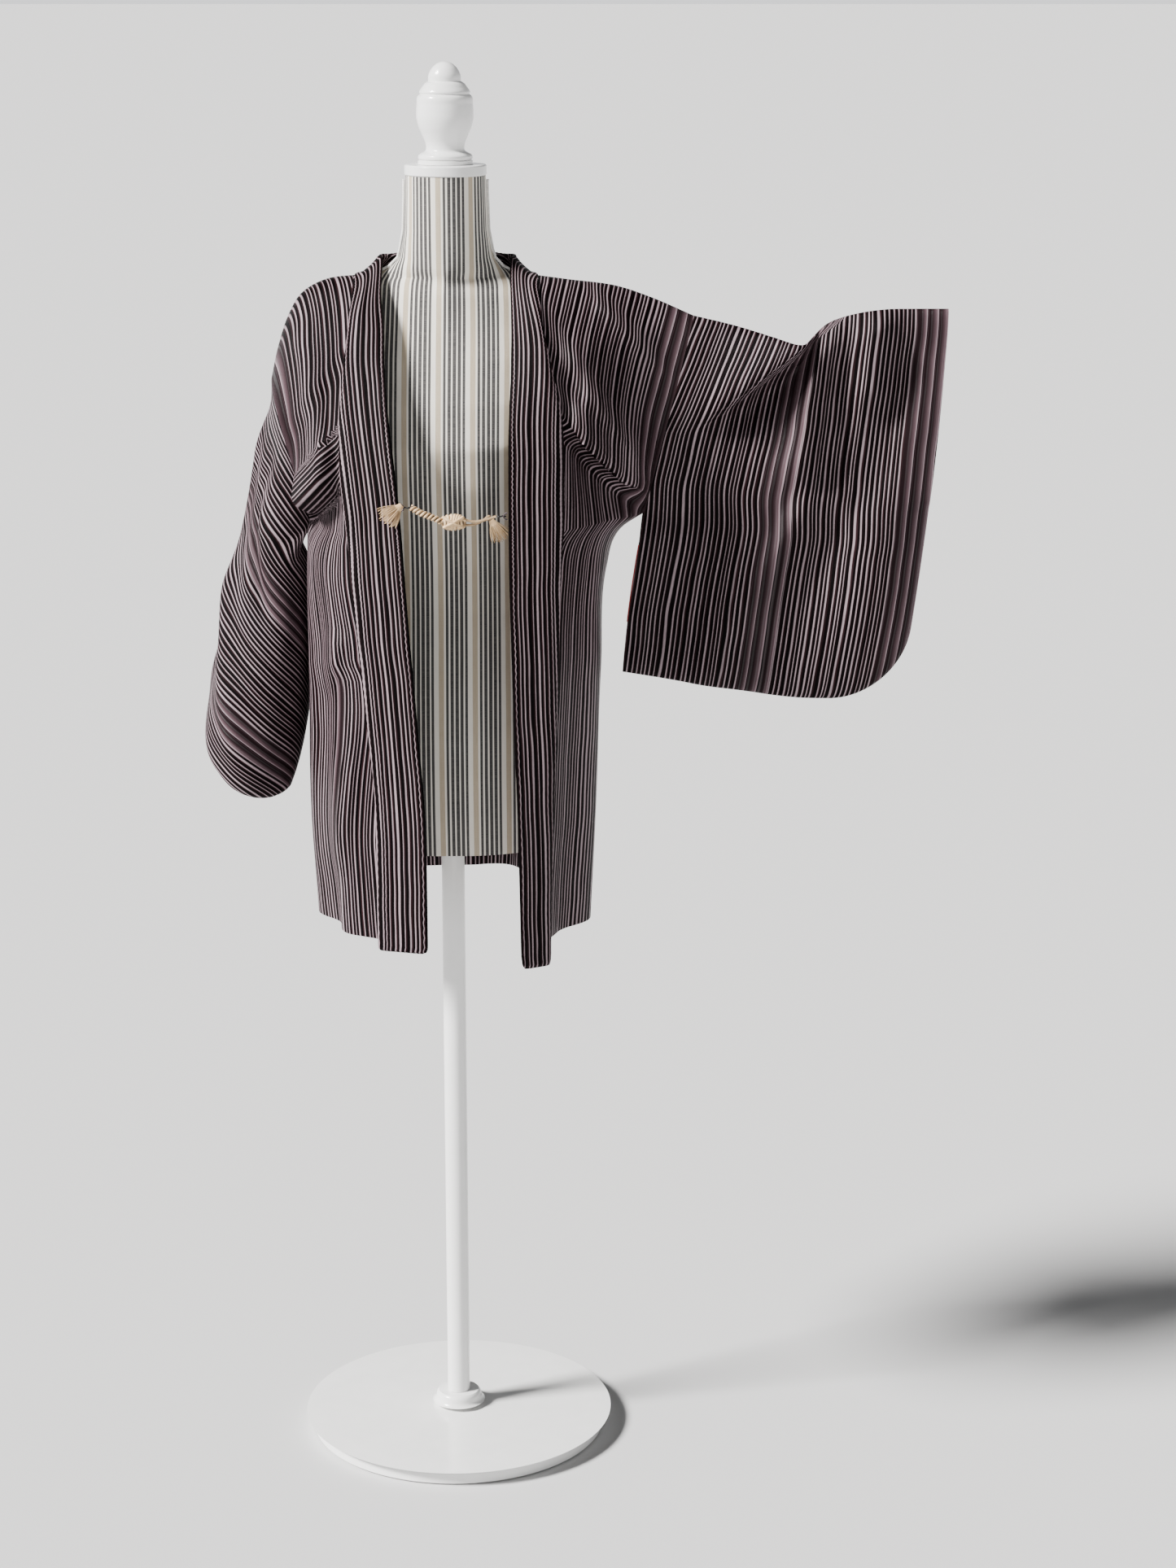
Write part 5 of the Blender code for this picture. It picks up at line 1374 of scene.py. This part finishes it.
# The knot's turns: how far each leans, and how far apart they lie.
KNOT_LEANS = (-0.60, -0.42, -0.22, 0.0, 0.22, 0.42, 0.60)
KNOT_STEP = 0.0037
KNOT_STRAND = 0.0019
KNOT_CORE = (0.0125, 0.0052)  # half its length, and its radius


def add_knot(knot, finish):
    """The knot: the braid wound round itself, in turns that lie side by side."""
    shape = bmesh.new()
    half, radius = KNOT_CORE
    core = np.linspace(-half, half, 15)
    # The core under the turns is painted fully in shade, and shows dark between them.
    strand_mesh(shape, [(knot.x + d, knot.y, knot.z) for d in core],
                radius * np.sqrt(1 - (core / KNOT_HALF[0]) ** 2), 12, deep=1.0)
    turns = np.linspace(0, 2 * math.pi, 40)
    for k, lean in enumerate(KNOT_LEANS):
        place = (k - 3) * KNOT_STEP
        size = math.sqrt(1 - (place / (KNOT_HALF[0] * 1.08)) ** 2)
        line = np.stack([
            knot.x + place + 0.0020 * np.sin(turns + lean * 3),
            knot.y + (KNOT_HALF[1] - 0.0022) * size * np.cos(turns),
            knot.z + (KNOT_HALF[2] - 0.0022) * size * np.sin(turns),
        ], -1)
        strand_mesh(shape, line, KNOT_STRAND * (0.8 + 0.2 * size), 9)
    for sign in (1, -1):
        line = [(knot.x + 0.0115 * t, knot.y - (KNOT_HALF[1] - 0.0008) * math.cos(t * 1.25),
                 knot.z + sign * 0.0062 * t) for t in np.linspace(-1, 1, 24)]
        strand_mesh(shape, line, KNOT_STRAND, 9)
    return strand_piece("himo_bun", shape, finish, ["himo_knot"])


def add_tie(stations, finish, metal, thread):
    """The braid, cords, knot, hooks and tassels of the tie."""
    knot = Vector(KNOT_CENTRE)
    ends = {}
    for side in SIGN:
        inward = Vector((-SIGN[side], 0, 0))
        low, high = (Vector(fold_point(stations[side], TIE_HEIGHT[side] + d))
                     for d in (-LOOP_HALF, LOOP_HALF))
        reach = LOOP_GAP + LOOP_REACH + HOOK_EYE * 3 + HOOK_RADIUS + SEAM_GAP
        ends[side] = high.lerp(low, 0.5) + inward * reach
        for node, look in ((f"hook_{side}", metal), (f"collar_loop_{side}", thread)):
            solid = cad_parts[node]
            solid.data.materials.clear()
            solid.data.materials.append(look)
    beside = KNOT_HALF[0] + TIE_GAP
    braid_end, upper_end = knot - Vector((beside, 0, -0.001)), knot + Vector((beside, 0, 0.0025))
    braid_route = smooth_route([ends["right"], *BRAID_BY, braid_end], ROUTE_STEP)
    upper_route = smooth_route([upper_end, *UPPER_BY, ends["left"]], ROUTE_STEP)
    shape = bmesh.new()
    twisted(shape, braid_route, **BRAID)
    # A core painted fully in shade, which shows as dark gaps between the two strands.
    strand_mesh(shape, braid_route, BRAID_CORE, 8, deep=1.0)
    twisted(shape, upper_route, **THIN_CORD)
    strand_mesh(shape, np.linspace(braid_route[-1], upper_route[0], 20), THROUGH_KNOT, 8)
    braid = strand_piece("himo_band", shape, finish, ["himo_braid", "himo_cord_upper"])
    way = Vector(TASSEL_WAY["left"])
    head = Vector(TASSEL_ROOT["left"]) - way * TIE_GAP
    lower_route = smooth_route([knot + Vector((beside - 0.0005, 0, -0.0035)), *LOWER_BY,
                                head - way * THIN_RADIUS * 3, head], ROUTE_STEP)
    shape = bmesh.new()
    twisted(shape, lower_route, **THIN_CORD)
    thin = strand_piece("himo_tail", shape, finish, ["himo_cord_lower"])
    bun = add_knot(knot, finish)
    for side in SIGN:
        add_tassel(side, finish)


# The tassels: the fine strands, and the windings and the core of the head.
TASSEL_STRANDS = 62
TASSEL_SEED = {"left": 7, "right": 11}
STRAND_RADIUS = 0.00042
WINDINGS = 5
WINDING_RADIUS = 0.0009
TASSEL_CORE = 0.0021


def add_tassel(side, finish):
    """A wound head with fine strands that fan out of it."""
    rng = np.random.default_rng(TASSEL_SEED[side])
    way = Vector(TASSEL_WAY[side]).normalized()
    turn = np.array(Vector((0, 0, -1)).rotation_difference(way).to_matrix())
    root = np.array(TASSEL_ROOT[side])
    width, depth = TASSEL_HEAD
    down = np.array([0, 0, -1])
    shape = bmesh.new()
    turns = np.linspace(0, 2 * math.pi, 28)
    for t in (np.arange(WINDINGS) + 0.5) / WINDINGS:
        grow = 0.55 + 0.42 * t
        ring = np.stack([np.cos(turns) * (width / 2 * grow - 0.0007),
                         np.sin(turns) * (depth / 2 * grow - 0.0006),
                         np.full_like(turns, -t * TASSEL_HEAD_HEIGHT)], -1)
        strand_mesh(shape, ring @ turn.T + root, WINDING_RADIUS, 8)
    core = down * np.linspace(0.0003, TASSEL_HEAD_HEIGHT, 6)[:, None]
    strand_mesh(shape, core @ turn.T + root, TASSEL_CORE, 8)
    spread = TASSEL_SPREAD[side]
    for k in range(TASSEL_STRANDS):
        angle = k * math.pi * (3 - math.sqrt(5))
        far = math.sqrt((k + 0.5) / TASSEL_STRANDS)
        start = np.array([math.cos(angle) * width * 0.42 * far, math.sin(angle) * depth * 0.42 * far,
                          -TASSEL_HEAD_HEIGHT * 0.75])
        lean = np.array([start[0] / width * spread * 1.1, start[1] / depth * spread * 0.75, 0.0])
        length = TASSEL_LENGTH * (0.82 + 0.2 * rng.random())
        sway = (rng.random(3) - 0.5) * 0.10
        sway[2] = 0
        t = np.linspace(0, 1, 9)[:, None]
        open_out = lean * (1.65 - 0.75 * t) + sway * t
        line = start + (down * (1 - 0.25 * far * t) + open_out) * length * t
        radius = STRAND_RADIUS * (1 - 0.25 * t[:, 0])
        # Each strand gets a random share of the yarn's painted shade, as strands lie at different depths.
        strand_mesh(shape, line @ turn.T + root, radius, 4, deep=0.55 * rng.random())
    strand_piece(f"tassel_{side}_strands", shape, finish, [f"tassel_{side}"])


def add_piping(finish):
    """The white gimp down both sides of the form's neck."""
    rings = torso_heights()
    heights = np.linspace(PIPING_TOP, PIPING_LOW, 60)
    reach = np.interp(heights, rings, TORSO(rings)["half_width"])
    slope = np.gradient(reach, heights)
    out = unit(np.stack([np.ones_like(slope), -slope], -1)) * (PIPING_RADIUS + SEAM_GAP)
    x, z = (reach + out[:, 0])[reach < PIPING_END], (heights + out[:, 1])[reach < PIPING_END]
    for side, sign in SIGN.items():
        route = [(sign * px, 0.0, pz) for px, pz in zip(x, z)]
        shape = bmesh.new()
        twisted(shape, smooth_route(route, GIMP_STEP), **GIMP)
        strand_piece(f"neck_gimp_{side}", shape, finish, [f"neck_piping_{side}"])


# Each silk piece's place in the pattern, and its groups of broad bands.
SILK_SEEDS = {"body_left": 2.0, "body_right": 5.0, "gusset_left": 8.0, "gusset_right": 9.0,
              "sleeve_left": 3.0, "sleeve_right": 6.0}
SLEEVE_ZONES = [(0.1495, 0.0195, 0.0, 2.0), (0.3155, 0.0195, 0.0, 2.0)]
ZONES = {
    "body_left": [(0.286, 0.0195, 0.47, 1.1)],
    "body_right": [(0.292, 0.0130, 0.47, 1.1), (0.205, 0.0065, 0.05, 0.30)],
    "sleeve_left": SLEEVE_ZONES,
    "sleeve_right": SLEEVE_ZONES,
}
# The flat size and the area of each kind of piece.
CUTS = {
    "body": ((HALF_BACK, 1.60), 0.40),
    "gusset": ((GUSSET_HEM, 0.50), 0.019),
    "sleeve": ((SLEEVE_WIDTH, SLEEVE_DEPTH * 2), 0.28),
}


def dress():
    coat, fronts, backs, sleeves = sew_coat()
    for piece in list(coat.triangles):
        silk = striped_silk(f"silk_{piece}", ZONES.get(piece, []), SILK_SEEDS[piece])
        made = cloth_wall(f"{piece}_cloth", coat, piece, SEEN_CLOTH, silk, piece)
        flat, area = CUTS[piece.split("_")[0]]
    stations = {side: collar_stations(coat, fronts, backs, side) for side in SIGN}
    collar_silk = striped_silk("silk_collar", [], 4.0, 1.05, edged=True)
    collar = add_collar(stations["left"], stations["right"], collar_silk)
    lining = add_lining(coat, sleeves["left"], plain_silk("red_lining_silk", (0.50, 0.030, 0.030)))
    add_tie(stations, yarn("cream_yarn", (0.74, 0.53, 0.30), (0.42, 0.25, 0.11)),
            paint("black_hook_paint", (0.012, 0.012, 0.013), 0.32, 0.6),
            yarn("loop_yarn", (0.070, 0.045, 0.052), (0.012, 0.007, 0.008)))
    add_form(striped_linen("linen_cover"))
    add_piping(yarn("white_gimp", (0.86, 0.85, 0.82), (0.62, 0.61, 0.58)))
    white = paint("white_gloss", (0.84, 0.84, 0.83), 0.16)
    for name, profile, segments, rings, node in (
        ("form_cap", NECK_DISC, 96, 24, "neck_disc"),
        ("form_finial", FINIAL, 96, 160, "finial"),
        ("pole", POLE, 48, 6, "stand_pole"),
        ("base_plate", BASE, 128, 40, "stand_base"),
    ):
        add_lathe(name, profile, segments, white, rings, node)


add_camera()
add_studio()
dress()
